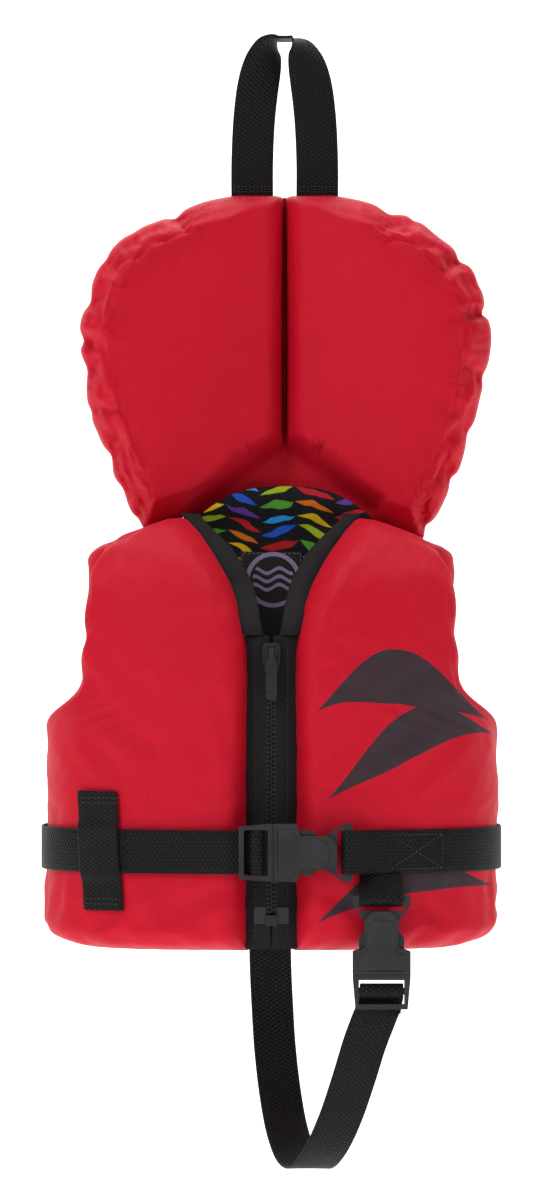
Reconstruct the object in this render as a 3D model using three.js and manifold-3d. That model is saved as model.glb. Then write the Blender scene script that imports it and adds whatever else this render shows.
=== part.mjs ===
// Infant life jacket: a zipped foam vest with a padded head-support collar, a grab loop,
// a waist belt and a crotch strap, each strap closed by a side-release buckle.
// It stands as worn: +Z is up, -Y is the wearer's front and -X is the wearer's right.
// The origin is on the wearer's centre line, level with the shoulder tops. Millimetres.
import * as THREE from "three";
import Module from "manifold-3d";

// ---------------------------------------------------------------- driving dimensions
const CLEARANCE = 0.3; // gap between neighbouring pieces
const CLOTH = 1.2; // outer cloth
const LINING = 1.0; // lining cloth

// vest: in plan the lining is a rounded oblong, and the foam stands out from it
const CAVITY_HALF_WIDTH = 102;
const CAVITY_HALF_DEPTH = 50;
const SECTION_POWER = 2.5; // 2 would be an ellipse
const FRONT_THICKNESS = 32;
const BACK_THICKNESS = 29;
const RIM_SHARPNESS = 5; // how squarely a pad rounds over at its edges
const SEAM_ANGLE = THREE.MathUtils.degToRad(115); // side seam, from straight ahead
const SEAM_GAP = 0.004; // radians between the front and back panels at the side seam
const HEM_Z = -248;
const NECK_TOP_Z = 9; // shoulder top at the neck
const NECK_HALF_WIDTH = 49;
const ARM_EDGE_X = 94;
const SHOULDER_SLOPE = 0.38; // fall per millimetre from the neck to the arm
const ZIP_HALF_OPENING = 11.5; // from the centre line to a front panel's edge
const NECKLINE_START_Z = -75; // where the front edges start to part
const NECKLINE_CURVE = 1.8;
const ARMHOLE_TURN_Z = -92; // the arm edge runs straight above this
const ARMHOLE_BOTTOM_Z = -128;
const LEAN_START_Z = -70; // above this the front leans back over the shoulder
const FRONT_LEAN = 38;
const BACK_LEAN = 8;
const SHOULDER_THICKNESS = 9;
const SHOULDER_ARCH = 3; // rise of the shoulder bridge's top over its ends
const FACING_WIDTH = 8;
const FACING_GAP = 0.9; // the curved neck edge is met by straight facets
const FACING_INNER = -0.5; // out from the lining's inner face
const FACING_OUTER = 1.5;
const LABEL_HALF_WIDTH = 19;
const LABEL_TOP_Z = -12;
const LABEL_BOTTOM_Z = -68;
const LABEL_OFF = 0.9; // straight facets of the label clear the curved lining
const LABEL_THICKNESS = 0.8;

// collar: two lobes that meet at a crease, their outer edges angled forward
const COLLAR_X = 8; // the collar is sewn on slightly off the centre line
const COLLAR_Y = 52;
const COLLAR_TOP_Z = 204;
const COLLAR_WIDEST_Z = 110;
const COLLAR_HALF_WIDTH = 123;
const COLLAR_BASE_HALF_WIDTH = 85;
const COLLAR_ARCH = 96; // height of the round top above the widest level
const COLLAR_ANGLE = THREE.MathUtils.degToRad(12);
const COLLAR_FRONT_THICKNESS = 30;
const COLLAR_BACK_THICKNESS = 12;
const COLLAR_SEAT = 0.9; // collar's lower edge above the shoulders

// webbing
const WEBBING_WIDTH = 25.4;
const WEBBING = 1.6; // thickness
const LAYER = WEBBING + 0.5; // from one layer of webbing to the next
const BELT_Z = -188;
const KEEPER_X = -100;
const KEEPER_WIDTH = 24;
const KEEPER_HALF_LENGTH = 35;
const KEEPER_OFF = 0.5; // straight facets of the keeper clear the curved shell and belt
const BELT_TAIL_X = -84; // free end of the belt's adjusting tail

// zip
const TAPE_OUT = 12; // from the lining to the tape
const TAPE = 1.0;
const TAPE_REACH = 0.4; // the tape meets the pad's side, which leans back from its rim
const TAPE_TOP_Z = -62;
const TAPE_BOTTOM_Z = -240;
const CHAIN_HALF_GAP = 0.8; // the slider's post runs in this gap
const CHAIN_WIDTH = 2.2;
const CHAIN = 3.0; // thickness
const CHAIN_TOP_Z = -65;
const CHAIN_BOTTOM_Z = -225;
const ZIP_BOX_HEIGHT = 7;
const SLIDER_TOP_Z = -67;
const SLIDER_LENGTH = 17;
const SLIDER_WIDTH = 11;
const SLIDER_PLATE = 2.2;
const PULLER_LENGTH = 29;
const PULLER_WIDTH = 7;

// side-release buckle: local +X runs from the plug into the socket, x = 0 at the mouth
const BUCKLE_HALF_WIDTH = 16.8;
const BUCKLE_THICKNESS = 11;
const BUCKLE_WALL = 2.3;
const BUCKLE_WAIST = 9.8; // half width between the side windows
const MOUTH_LENGTH = 13;
const POCKET_LENGTH = 28;
const POCKET_HALF_WIDTH = 13.6;
const SOCKET_LENGTH = 36.5;
const BAR_X = 43.6;
const BAR_WIDTH = 3.8;
const BAR_THICKNESS = 3.2;
const PLUG_LENGTH = 20.5; // ladder lock, from the mouth to its free end
const PLUG_END_BAR = 3;
const PLUG_NECK = 3.5; // solid part of the lock beside the mouth
const PLUG_BAR_X = -10;
const TONGUE_HALF = 3.2; // half width of the plug's middle guide
const LATCH_ROOT_X = 3.3;
const LATCH_REACH = 22.5;
const WAIST_MOUTH_X = 1.5;
const WAIST_BUCKLE_Y = -90.5;
const CROTCH_BUCKLE_X = 64;
const CROTCH_BUCKLE_Y = -88;
const CROTCH_MOUTH_Z = -258.5;

// ---------------------------------------------------------------- materials
const material = (color, roughness, metalness = 0) =>
  new THREE.MeshStandardMaterial({ color, roughness, metalness });
const RED_CLOTH = material(0xc8102a, 0.75);
const BLACK_CLOTH = material(0x141416, 0.9);
const PRINTED_LINING = material(0x1c2233, 0.85);
const FOAM = material(0xe9e4d6, 0.95);
const WEBBING_BLACK = material(0x18181a, 0.8);
const PLASTIC = material(0x1f1f22, 0.45);
const ZIP_PLASTIC = material(0x101012, 0.4);
const LABEL = material(0xb9a8d8, 0.8);

// ---------------------------------------------------------------- shared geometry
const { lerp, smoothstep, clamp } = THREE.MathUtils;
const jacket = new THREE.Group();

/** Adds a named mesh to a group. */
function add(name, geometry, finish, group = jacket) {
  const mesh = new THREE.Mesh(geometry, finish);
  mesh.name = name;
  group.add(mesh);
  return mesh;
}

/** A box whose three unit coordinates are mapped to points by place(u, v, w). */
function slab(columns, rows, place) {
  const geometry = new THREE.BoxGeometry(1, 1, 1, columns, rows, 1);
  matchDiagonals(geometry);
  const points = geometry.attributes.position;
  for (let i = 0; i < points.count; i++) {
    const [x, y, z] = place(points.getX(i) + 0.5, points.getY(i) + 0.5, points.getZ(i) + 0.5);
    points.setXYZ(i, x, y, z);
  }
  if (signedVolume(geometry) < 0) turnInsideOut(geometry);
  return geometry;
}

/** Cuts a box's far face along the same diagonals as its near face, so that layers nest. */
function matchDiagonals(geometry) {
  const far = geometry.groups[5];
  for (let i = far.start; i < far.start + far.count; i += 6) {
    const [a, b, c, d] = [0, 1, 4, 2].map((k) => geometry.index.getX(i + k));
    [a, b, c, a, c, d].forEach((corner, k) => geometry.index.setX(i + k, corner));
  }
}

function signedVolume(geometry) {
  const points = geometry.attributes.position;
  const corner = [new THREE.Vector3(), new THREE.Vector3(), new THREE.Vector3()];
  let sum = 0;
  for (let i = 0; i < geometry.index.count; i += 3) {
    corner.forEach((c, k) => c.fromBufferAttribute(points, geometry.index.getX(i + k)));
    sum += corner[0].dot(corner[1].clone().cross(corner[2]));
  }
  return sum / 6;
}

function turnInsideOut(geometry) {
  const index = geometry.index;
  for (let i = 0; i < index.count; i += 3) {
    const first = index.getX(i);
    index.setX(i, index.getX(i + 1));
    index.setX(i + 1, first);
  }
}

const RIM_LINE = 0.012; // share of a pad's width at its first grid line, where it rises steeply
const FOAM_LINE = 0.05; // and at its second, where its foam starts
const HEM_SHARE = 0.008; // share that the turned rim of the cloth takes

/** The foam's even grid lines, for t from 0 to 1. */
const foamLine = (t) => lerp(FOAM_LINE, 1 - FOAM_LINE, t);
/** The same lines with two more at each end, where the cloth comes down to its rim. */
function clothLine(t, count) {
  const line = Math.round(t * count);
  const fromEnd = Math.min(line, count - line);
  if (fromEnd > 1) return foamLine((line - 2) / (count - 4));
  const share = fromEnd * RIM_LINE;
  return line > 1 ? 1 - share : share;
}
/** 0 at both edges and 1 over most of the middle: the section of a foam pad. */
const crown = (t) => (1 - Math.abs(2 * t - 1) ** RIM_SHARPNESS) ** (1 / RIM_SHARPNESS);
/** Draws t in from both ends by the turned rim. */
const inset = (t) => lerp(HEM_SHARE, 1 - HEM_SHARE, t);

/** Outer cloth of a pad: place(u, v, height) with height from 0 at the rim to full. */
function shell(columns, rows, thickness, place) {
  return slab(columns, rows, (u, v, outside) => {
    const a = clothLine(u, columns);
    const b = clothLine(v, rows);
    const height = crown(a) * crown(b) * (outside > 0.5 ? thickness : thickness - CLOTH);
    return outside > 0.5 ? place(a, b, height) : place(inset(a), inset(b), height);
  });
}

/** One layer of foam in a pad, between two shares of its height. */
function foamLayer(columns, rows, thickness, from, to, place) {
  return slab(columns - 4, rows - 4, (u, v, top) => {
    const a = foamLine(u);
    const b = foamLine(v);
    return place(inset(a), inset(b), crown(a) * crown(b) * thickness * (top > 0.5 ? to : from));
  });
}

/** Webbing through points, with steps between each pair. across(s) is the way its width runs. */
function webbing(points, steps, across) {
  const knots = points.map((point) => new THREE.Vector3(...point));
  const route = new THREE.CatmullRomCurve3(knots, false, "centripetal");
  return slab((points.length - 1) * steps, 1, (s, side, face) => {
    const centre = route.getPoint(s);
    const along = route.getTangent(s);
    const wide = new THREE.Vector3(...across(s));
    wide.addScaledVector(along, -wide.dot(along)).normalize();
    const normal = along.clone().cross(wide);
    centre.addScaledVector(wide, (side - 0.5) * WEBBING_WIDTH);
    centre.addScaledVector(normal, (face - 0.5) * WEBBING);
    return centre.toArray();
  });
}

// ---------------------------------------------------------------- manifold joins and cuts
const wasm = await Module();
wasm.setup();

/** A closed mesh as a solid that can be joined and cut. */
function solid(geometry) {
  const at = (geometry.index ? geometry.toNonIndexed() : geometry).attributes.position;
  const seen = new Map();
  const vertices = [];
  const triangles = [];
  for (let i = 0; i < at.count; i++) {
    const point = [at.getX(i), at.getY(i), at.getZ(i)];
    const key = point.map((c) => Math.round(c * 1e4)).join();
    if (!seen.has(key)) {
      seen.set(key, vertices.length / 3);
      vertices.push(...point);
    }
    triangles.push(seen.get(key));
  }
  const mesh = new wasm.Mesh({
    numProp: 3,
    vertProperties: new Float32Array(vertices),
    triVerts: new Uint32Array(triangles),
  });
  return new wasm.Manifold(mesh);
}

function toGeometry(made) {
  const mesh = made.getMesh();
  const geometry = new THREE.BufferGeometry();
  geometry.setAttribute("position", new THREE.BufferAttribute(new Float32Array(mesh.vertProperties), 3));
  geometry.setIndex(new THREE.BufferAttribute(new Uint32Array(mesh.triVerts), 1));
  return geometry;
}

/** A solid box between two corners. */
function block([x0, y0, z0], [x1, y1, z1]) {
  const geometry = new THREE.BoxGeometry(x1 - x0, y1 - y0, z1 - z0);
  geometry.translate((x0 + x1) / 2, (y0 + y1) / 2, (z0 + z1) / 2);
  return solid(geometry);
}

/** An outline drawn in X and Z, given thickness from y0 to y1. */
function plate(outline, y0, y1) {
  const shape = new THREE.Shape(outline.map(([x, z]) => new THREE.Vector2(x, z)));
  const geometry = new THREE.ExtrudeGeometry(shape, { depth: y1 - y0, bevelEnabled: false });
  geometry.rotateX(Math.PI / 2); // the drawing's y becomes Z, and the depth runs towards -Y
  geometry.translate(0, y1, 0);
  return solid(geometry);
}

/** The outline's upper half, mirrored below the X axis. */
const mirrored = (half) => [...half, ...half.map(([x, z]) => [x, -z]).reverse()];

// ---------------------------------------------------------------- vest
const SECTION_SHARE = 2 / SECTION_POWER;
const signedPower = (value, power) => Math.sign(value) * Math.abs(value) ** power;

/** Lean of the lining towards the shoulder tops: how far its depth has shrunk at a height. */
function liningDepth(z, lean) {
  const rise = Math.max(0, z - LEAN_START_Z) / (NECK_TOP_Z - LEAN_START_Z);
  return CAVITY_HALF_DEPTH - lean * rise * rise;
}

/** Point on the vest: angle from straight ahead towards +X, height, distance out from the lining. */
function torsoPoint(angle, z, out) {
  const ahead = Math.cos(angle);
  const depth = liningDepth(z, ahead > 0 ? FRONT_LEAN : BACK_LEAN) + out;
  return [
    (CAVITY_HALF_WIDTH + out) * signedPower(Math.sin(angle), SECTION_SHARE),
    -depth * signedPower(ahead, SECTION_SHARE),
    z,
  ];
}

/** The angle at which a layer of the vest reaches x on its front half. */
function angleAt(x, out) {
  return Math.asin(signedPower(clamp(x / (CAVITY_HALF_WIDTH + out), -1, 1), 1 / SECTION_SHARE));
}

const shoulderTop = (x) => NECK_TOP_Z - SHOULDER_SLOPE * Math.max(0, Math.abs(x) - NECK_HALF_WIDTH);

/** Half the opening between the front panels at a height. */
function frontEdgeX(z) {
  const rise = Math.max(0, z - NECKLINE_START_Z) / (NECK_TOP_Z - NECKLINE_START_Z);
  return ZIP_HALF_OPENING + (NECK_HALF_WIDTH - ZIP_HALF_OPENING) * rise ** NECKLINE_CURVE;
}

/** 0 beside the arm, 1 below the armhole, where a panel reaches the side seam. */
const underArm = (z) => 1 - smoothstep(z, ARMHOLE_BOTTOM_Z, ARMHOLE_TURN_Z);

/** Point of a front panel: side is -1 or 1, u from the zip to the arm, v from hem to shoulder. */
function frontPoint(side, u, v, out) {
  const top = shoulderTop(lerp(NECK_HALF_WIDTH, ARM_EDGE_X, u));
  const z = lerp(HEM_Z, top, v);
  const outer = lerp(angleAt(ARM_EDGE_X, out), SEAM_ANGLE - SEAM_GAP, underArm(z));
  return torsoPoint(side * lerp(angleAt(frontEdgeX(z), out), outer, u), z, out);
}

/** Point of the back panel: u from the wearer's right to left, v from hem to shoulder. */
function backPoint(u, v, out) {
  const share = Math.abs(2 * u - 1);
  const atTop = CAVITY_HALF_WIDTH * Math.sin(share * angleAt(ARM_EDGE_X, 0)) ** SECTION_SHARE;
  const z = lerp(HEM_Z, shoulderTop(atTop), v);
  const outer = lerp(Math.PI - angleAt(ARM_EDGE_X, out), SEAM_ANGLE + SEAM_GAP, underArm(z));
  return torsoPoint((u < 0.5 ? -1 : 1) * lerp(Math.PI, outer, share), z, out);
}

const RIM_OUT = LINING + CLEARANCE; // a shell's rim stands just off the lining

/** Shell, two foam layers and lining of one panel of the vest. */
function vestPanel(name, suffix, columns, rows, thickness, place) {
  const raised = (u, v, height) => place(u, v, RIM_OUT + height);
  const lift = CLEARANCE / thickness;
  add(name + "_shell" + suffix, shell(columns, rows, thickness, raised), RED_CLOTH);
  const layer = (from, to) => foamLayer(columns, rows, thickness, from, to, raised);
  add(name + "_foam_outer" + suffix, layer(0.47 + lift, 0.82), FOAM);
  add(name + "_foam_inner" + suffix, layer(lift, 0.47), FOAM);
  const lining = slab(columns, rows, (u, v, out) => {
    return place(inset(clothLine(u, columns)), inset(clothLine(v, rows)), out * LINING);
  });
  add(name + "_lining" + suffix, lining, PRINTED_LINING);
}

const SIDES = [["_right", -1], ["_left", 1]];
for (const [suffix, side] of SIDES) {
  vestPanel("front", suffix, 11, 16, FRONT_THICKNESS, (u, v, out) => frontPoint(side, u, v, out));
}
vestPanel("back", "", 16, 14, BACK_THICKNESS, backPoint);

/** Padded bridge over a shoulder, between the front and back linings. */
function shoulder(side) {
  return slab(4, 6, (u, v, w) => {
    const x = side * lerp(NECK_HALF_WIDTH, ARM_EDGE_X - 2, u);
    const top = shoulderTop(x);
    const angle = angleAt(Math.abs(x), 0);
    const front = torsoPoint(angle, top, -2 * CLEARANCE)[1];
    const back = torsoPoint(Math.PI - angle, top, -2 * CLEARANCE)[1];
    const arch = SHOULDER_ARCH * Math.sin(Math.PI * v);
    return [x, lerp(front, back, v), top - SHOULDER_THICKNESS * (1 - w) - CLEARANCE + arch * w];
  });
}

/** Cloth facing on the inner side of a front panel's neck edge. */
function neckFacing(side) {
  return slab(2, 10, (u, v, out) => {
    const z = lerp(TAPE_TOP_Z, NECK_TOP_Z - 1, v);
    const x = frontEdgeX(z) - FACING_GAP - FACING_WIDTH * u;
    return torsoPoint(side * angleAt(x, 0), z, lerp(FACING_INNER, FACING_OUTER, out));
  });
}

for (const [suffix, side] of SIDES) {
  add("shoulder" + suffix, shoulder(side), RED_CLOTH);
  add("neck_facing" + suffix, neckFacing(side), BLACK_CLOTH);
}

/** Label sewn to the back lining, where it shows in the neck opening. */
const label = slab(4, 4, (u, v, w) => {
  const x = lerp(-LABEL_HALF_WIDTH, LABEL_HALF_WIDTH, u);
  const z = lerp(LABEL_BOTTOM_Z, LABEL_TOP_Z, v);
  return torsoPoint(Math.PI - angleAt(x, 0), z, -LABEL_OFF - LABEL_THICKNESS * w);
});
add("inner_label", label, LABEL);

// ---------------------------------------------------------------- collar
const collar = new THREE.Group();
jacket.add(collar);

/** Half the collar's width at a height. */
function collarHalfWidth(z) {
  const above = Math.max(0, z - COLLAR_WIDEST_Z) / COLLAR_ARCH;
  const below = Math.max(0, COLLAR_WIDEST_Z - z) / COLLAR_WIDEST_Z;
  const taper = (COLLAR_HALF_WIDTH - COLLAR_BASE_HALF_WIDTH) * below ** 1.7;
  return (COLLAR_HALF_WIDTH - taper) * Math.sqrt(1 - above ** 2.6);
}

/** Point of a collar lobe: u from the crease to the outer edge, v from the neck to the top. */
function collarPoint(side, u, v, forward) {
  const base = COLLAR_X + side * lerp(CLEARANCE / 2, COLLAR_BASE_HALF_WIDTH, u);
  const z = lerp(shoulderTop(base) + COLLAR_SEAT, COLLAR_TOP_Z, v);
  const across = lerp(CLEARANCE / 2, collarHalfWidth(z), u);
  return [COLLAR_X + side * across, COLLAR_Y - across * Math.tan(COLLAR_ANGLE) - forward, z];
}

for (const [suffix, side] of SIDES) {
  const front = (u, v, height) => collarPoint(side, u, v, height + CLEARANCE / 2);
  const back = (u, v, height) => collarPoint(side, u, v, -height - CLEARANCE / 2);
  const lift = CLEARANCE / COLLAR_FRONT_THICKNESS;
  add("collar_cover" + suffix, shell(10, 13, COLLAR_FRONT_THICKNESS, front), RED_CLOTH, collar);
  add("collar_back" + suffix, shell(10, 13, COLLAR_BACK_THICKNESS, back), RED_CLOTH, collar);
  const frontFoam = foamLayer(10, 13, COLLAR_FRONT_THICKNESS, lift, 0.9, front);
  add("collar_foam_front" + suffix, frontFoam, FOAM, collar);
  const backFoam = foamLayer(10, 13, COLLAR_BACK_THICKNESS, lift, 0.8, back);
  add("collar_foam_back" + suffix, backFoam, FOAM, collar);
}

// ---------------------------------------------------------------- grab loop
const LOOP_LEG_X = 19.7; // from the collar's centre line to a leg's middle
const LOOP_TOP_Z = 299;
const LOOP_FLAT = 5; // half the straight run at the top, where a hook hangs
const LOOP_SEAT = 0.5; // the legs' ends clear the collar's top edge as the loop swings
const loopSide = [
  [LOOP_LEG_X, COLLAR_TOP_Z + LOOP_SEAT],
  [LOOP_LEG_X, COLLAR_TOP_Z + 20],
  [18.6, COLLAR_TOP_Z + 45],
  [16.2, COLLAR_TOP_Z + 66],
  [12.6, COLLAR_TOP_Z + 82],
  [8.8, LOOP_TOP_Z - 3.4],
  [LOOP_FLAT, LOOP_TOP_Z],
  [LOOP_FLAT / 2, LOOP_TOP_Z],
];
const loopPoints = [
  ...loopSide.map(([x, z]) => [COLLAR_X - x, COLLAR_Y - 4, z]),
  [COLLAR_X, COLLAR_Y - 4, LOOP_TOP_Z],
  ...loopSide.map(([x, z]) => [COLLAR_X + x, COLLAR_Y - 4, z]).reverse(),
];
/** The webbing faces forward at its ends and turns edge-on at the top. */
function loopAcross(s) {
  const turn = smoothstep(1 - Math.abs(2 * s - 1), 0.1, 0.8) * (Math.PI / 2);
  return [Math.cos(turn), Math.sin(turn), 0];
}
add("grab_loop", webbing(loopPoints, 3, loopAcross), WEBBING_BLACK);

// ---------------------------------------------------------------- zip
const ZIP_Y = torsoPoint(0, BELT_Z, TAPE_OUT)[1];
const CHAIN_EDGE = CHAIN_HALF_GAP + CHAIN_WIDTH;
for (const [suffix, side] of SIDES) {
  const tape = block(
    [CHAIN_EDGE + CLEARANCE, ZIP_Y - TAPE / 2, TAPE_BOTTOM_Z],
    [ZIP_HALF_OPENING + TAPE_REACH, ZIP_Y + TAPE / 2, TAPE_TOP_Z],
  );
  const chain = block(
    [CHAIN_HALF_GAP, ZIP_Y - CHAIN / 2, CHAIN_BOTTOM_Z],
    [CHAIN_EDGE, ZIP_Y + CHAIN / 2, CHAIN_TOP_Z],
  );
  const onSide = (made) => toGeometry(side < 0 ? made.mirror([1, 0, 0]) : made);
  add("zip_tape" + suffix, onSide(tape), BLACK_CLOTH);
  add("zip_chain" + suffix, onSide(chain), ZIP_PLASTIC);
}
const zipBox = block(
  [-CHAIN_EDGE, ZIP_Y - CHAIN / 2 - 1, CHAIN_BOTTOM_Z - CLEARANCE - ZIP_BOX_HEIGHT],
  [CHAIN_EDGE, ZIP_Y + CHAIN / 2 + 1, CHAIN_BOTTOM_Z - CLEARANCE],
);
add("zip_box", toGeometry(zipBox), ZIP_PLASTIC);

// slider: two plates either side of the chains, joined by a post, with a crown for the puller
const PLATE_INNER = CHAIN / 2 + CLEARANCE + 0.2;
const PLATE_OUTER = PLATE_INNER + SLIDER_PLATE;
const SLIDER_BOTTOM_Z = SLIDER_TOP_Z - SLIDER_LENGTH;
const PIVOT_Y = ZIP_Y - PLATE_OUTER - 3.8;
const PIVOT_Z = SLIDER_TOP_Z - 4;
const CHEEK_INNER = 2.2; // each cheek of the crown holds one end of the puller's pivot
const CHEEK_OUTER = 3.2;
const PIVOT_HALF = 0.8;

function sliderPlate(direction) {
  const near = ZIP_Y + direction * PLATE_INNER;
  const far = ZIP_Y + direction * PLATE_OUTER;
  const lip = ZIP_Y + direction * (TAPE / 2 + 0.5);
  const flat = (a, b, x0, x1) =>
    block([x0, Math.min(a, b), SLIDER_BOTTOM_Z], [x1, Math.max(a, b), SLIDER_TOP_Z]);
  const half = SLIDER_WIDTH / 2;
  return flat(near, far, -half, half)
    .add(flat(lip, far, CHAIN_EDGE + 0.4, half))
    .add(flat(lip, far, -half, -CHAIN_EDGE - 0.4));
}
function sliderCheek(side) {
  const inner = side * CHEEK_INNER;
  const outer = side * CHEEK_OUTER;
  return block(
    [Math.min(inner, outer), PIVOT_Y - 1.6, PIVOT_Z - 2],
    [Math.max(inner, outer), ZIP_Y - PLATE_INNER - 1, PIVOT_Z + 2],
  );
}
const post = block(
  [-CHAIN_HALF_GAP + CLEARANCE, ZIP_Y - PLATE_OUTER, SLIDER_TOP_Z - 6],
  [CHAIN_HALF_GAP - CLEARANCE, ZIP_Y + PLATE_OUTER, SLIDER_TOP_Z],
);
const crownBar = block(
  [-CHEEK_OUTER, PIVOT_Y - PIVOT_HALF, PIVOT_Z - PIVOT_HALF],
  [CHEEK_OUTER, PIVOT_Y + PIVOT_HALF, PIVOT_Z + PIVOT_HALF],
);
const slider = sliderPlate(-1).add(sliderPlate(1)).add(post).add(crownBar);
add("zip_slider", toGeometry(slider.add(sliderCheek(-1)).add(sliderCheek(1))), ZIP_PLASTIC);

const HEAD_HALF = 2.4;
const EYE_HALF = PIVOT_HALF + 0.5;
const pullerHead = block(
  [-CHEEK_INNER + CLEARANCE, PIVOT_Y - HEAD_HALF, PIVOT_Z - 5],
  [CHEEK_INNER - CLEARANCE, PIVOT_Y + HEAD_HALF, PIVOT_Z + HEAD_HALF],
);
const pullerEye = block(
  [-CHEEK_OUTER, PIVOT_Y - EYE_HALF, PIVOT_Z - EYE_HALF],
  [CHEEK_OUTER, PIVOT_Y + EYE_HALF, PIVOT_Z + EYE_HALF],
);
const pullerTab = block(
  [-PULLER_WIDTH / 2, PIVOT_Y - 1.2, PIVOT_Z - PULLER_LENGTH],
  [PULLER_WIDTH / 2, PIVOT_Y + 0.8, PIVOT_Z - 4.6],
);
add("zip_puller", toGeometry(pullerHead.subtract(pullerEye).add(pullerTab)), ZIP_PLASTIC);

// ---------------------------------------------------------------- side-release buckles
const HALF_BUCKLE = BUCKLE_THICKNESS / 2;
const SLOT_HALF_WIDTH = WEBBING_WIDTH / 2 + 0.5;
const END_HALF_WIDTH = SLOT_HALF_WIDTH + 3.6;
const MOUTH_HALF_HEIGHT = HALF_BUCKLE - BUCKLE_WALL;

/** Socket: a housing open at the mouth and at both side windows, with a webbing bar behind. */
function socket() {
  const housing = mirrored([
    [0, BUCKLE_HALF_WIDTH],
    [MOUTH_LENGTH, BUCKLE_HALF_WIDTH],
    [MOUTH_LENGTH + 2.5, BUCKLE_WAIST],
    [SOCKET_LENGTH - 6, BUCKLE_WAIST],
    [SOCKET_LENGTH - 2, BUCKLE_WAIST - 2],
    [SOCKET_LENGTH, BUCKLE_WAIST - 5],
  ]);
  const tail = mirrored([
    [POCKET_LENGTH + 1, BUCKLE_WAIST - 1],
    [SOCKET_LENGTH - 3, SLOT_HALF_WIDTH - 1],
    [BAR_X - BAR_WIDTH / 2 - 1.5, END_HALF_WIDTH],
    [BAR_X + BAR_WIDTH / 2, END_HALF_WIDTH],
  ]);
  const pocket = block(
    [-1, -MOUTH_HALF_HEIGHT, -POCKET_HALF_WIDTH],
    [POCKET_LENGTH, MOUTH_HALF_HEIGHT, POCKET_HALF_WIDTH],
  );
  const slot = block(
    [SOCKET_LENGTH + 0.2, -HALF_BUCKLE - 1, -SLOT_HALF_WIDTH],
    [BAR_X - BAR_WIDTH / 2, HALF_BUCKLE + 1, SLOT_HALF_WIDTH],
  );
  return plate(housing, -HALF_BUCKLE, HALF_BUCKLE)
    .subtract(pocket)
    .add(plate(tail, -BAR_THICKNESS / 2, BAR_THICKNESS / 2))
    .subtract(slot);
}

/** Plug: a ladder lock that holds the adjustable webbing, and the tongue that fills the socket. */
function plug() {
  const frame = mirrored([
    [-PLUG_LENGTH, SLOT_HALF_WIDTH + 2],
    [-CLEARANCE - 2, BUCKLE_HALF_WIDTH],
    [-CLEARANCE, BUCKLE_HALF_WIDTH],
  ]);
  const half = BAR_THICKNESS / 2;
  const window = block(
    [-PLUG_LENGTH + PLUG_END_BAR, -HALF_BUCKLE, -SLOT_HALF_WIDTH],
    [-PLUG_NECK, HALF_BUCKLE, SLOT_HALF_WIDTH],
  );
  const bar = block(
    [PLUG_BAR_X - BAR_WIDTH / 2, -half, -SLOT_HALF_WIDTH - 1],
    [PLUG_BAR_X + BAR_WIDTH / 2, half, SLOT_HALF_WIDTH + 1],
  );
  const thick = MOUTH_HALF_HEIGHT - CLEARANCE;
  const filler = POCKET_HALF_WIDTH - 0.8;
  const base = block([-CLEARANCE - 1, -thick, -filler], [LATCH_ROOT_X - CLEARANCE, thick, filler]);
  const tongue = block([0, -thick, -TONGUE_HALF], [LATCH_REACH + 1, thick, TONGUE_HALF]);
  return plate(frame, -HALF_BUCKLE + BUCKLE_WALL, half).subtract(window).add(bar).add(base).add(tongue);
}

/** Latch arm of the plug, drawn on its +Z side: sprung, and pressed in to release the buckle. */
function latch() {
  const tip = LATCH_ROOT_X + LATCH_REACH;
  const face = POCKET_HALF_WIDTH - 0.4;
  const outline = [
    [LATCH_ROOT_X, 10.2],
    [LATCH_ROOT_X, face - 0.4],
    [MOUTH_LENGTH + 1, face - 0.8],
    [MOUTH_LENGTH + 3, face],
    [tip - 5, face],
    [tip, face - 3.6],
    [tip, face - 5.6],
    [tip - 6, face - 4],
    [MOUTH_LENGTH - 2, 9.6],
  ];
  return plate(outline, -MOUTH_HALF_HEIGHT + 0.5, MOUTH_HALF_HEIGHT - 0.5);
}

/** Puts a buckle's four pieces in a group, named after the strap that it closes. */
function buckle(name, group, latchNames) {
  add(name + "_buckle_socket", toGeometry(socket()), PLASTIC, group);
  add(name + "_buckle_plug", toGeometry(plug()), PLASTIC, group);
  add(name + "_latch_" + latchNames[0], toGeometry(latch()), PLASTIC, group);
  add(name + "_latch_" + latchNames[1], toGeometry(latch().mirror([0, 0, 1])), PLASTIC, group);
  jacket.add(group);
}
const waistBuckle = new THREE.Group();
waistBuckle.position.set(WAIST_MOUTH_X, WAIST_BUCKLE_Y, BELT_Z);
buckle("waist", waistBuckle, ["upper", "lower"]);
const crotchBuckle = new THREE.Group();
crotchBuckle.position.set(CROTCH_BUCKLE_X, CROTCH_BUCKLE_Y, CROTCH_MOUTH_Z);
crotchBuckle.rotation.y = -Math.PI / 2; // local +X points up
buckle("crotch", crotchBuckle, ["right", "left"]);

// ---------------------------------------------------------------- waist belt
const SHELL_TOP = RIM_OUT + FRONT_THICKNESS;
const BELT_OUT = SHELL_TOP + CLEARANCE + WEBBING / 2; // middle of the first layer of webbing
const BACK_BELT_OUT = BELT_OUT - (FRONT_THICKNESS - BACK_THICKNESS);
const BAR_RADIUS = Math.hypot(BAR_WIDTH, BAR_THICKNESS) / 2;
const WRAP_SLACK = 0.45; // straight facets of the webbing clear the bar's corners
const WRAP = BAR_RADIUS + WEBBING / 2 + WRAP_SLACK; // to the middle of webbing round a bar
const acrossBelt = () => [0, 0, 1];

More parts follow.
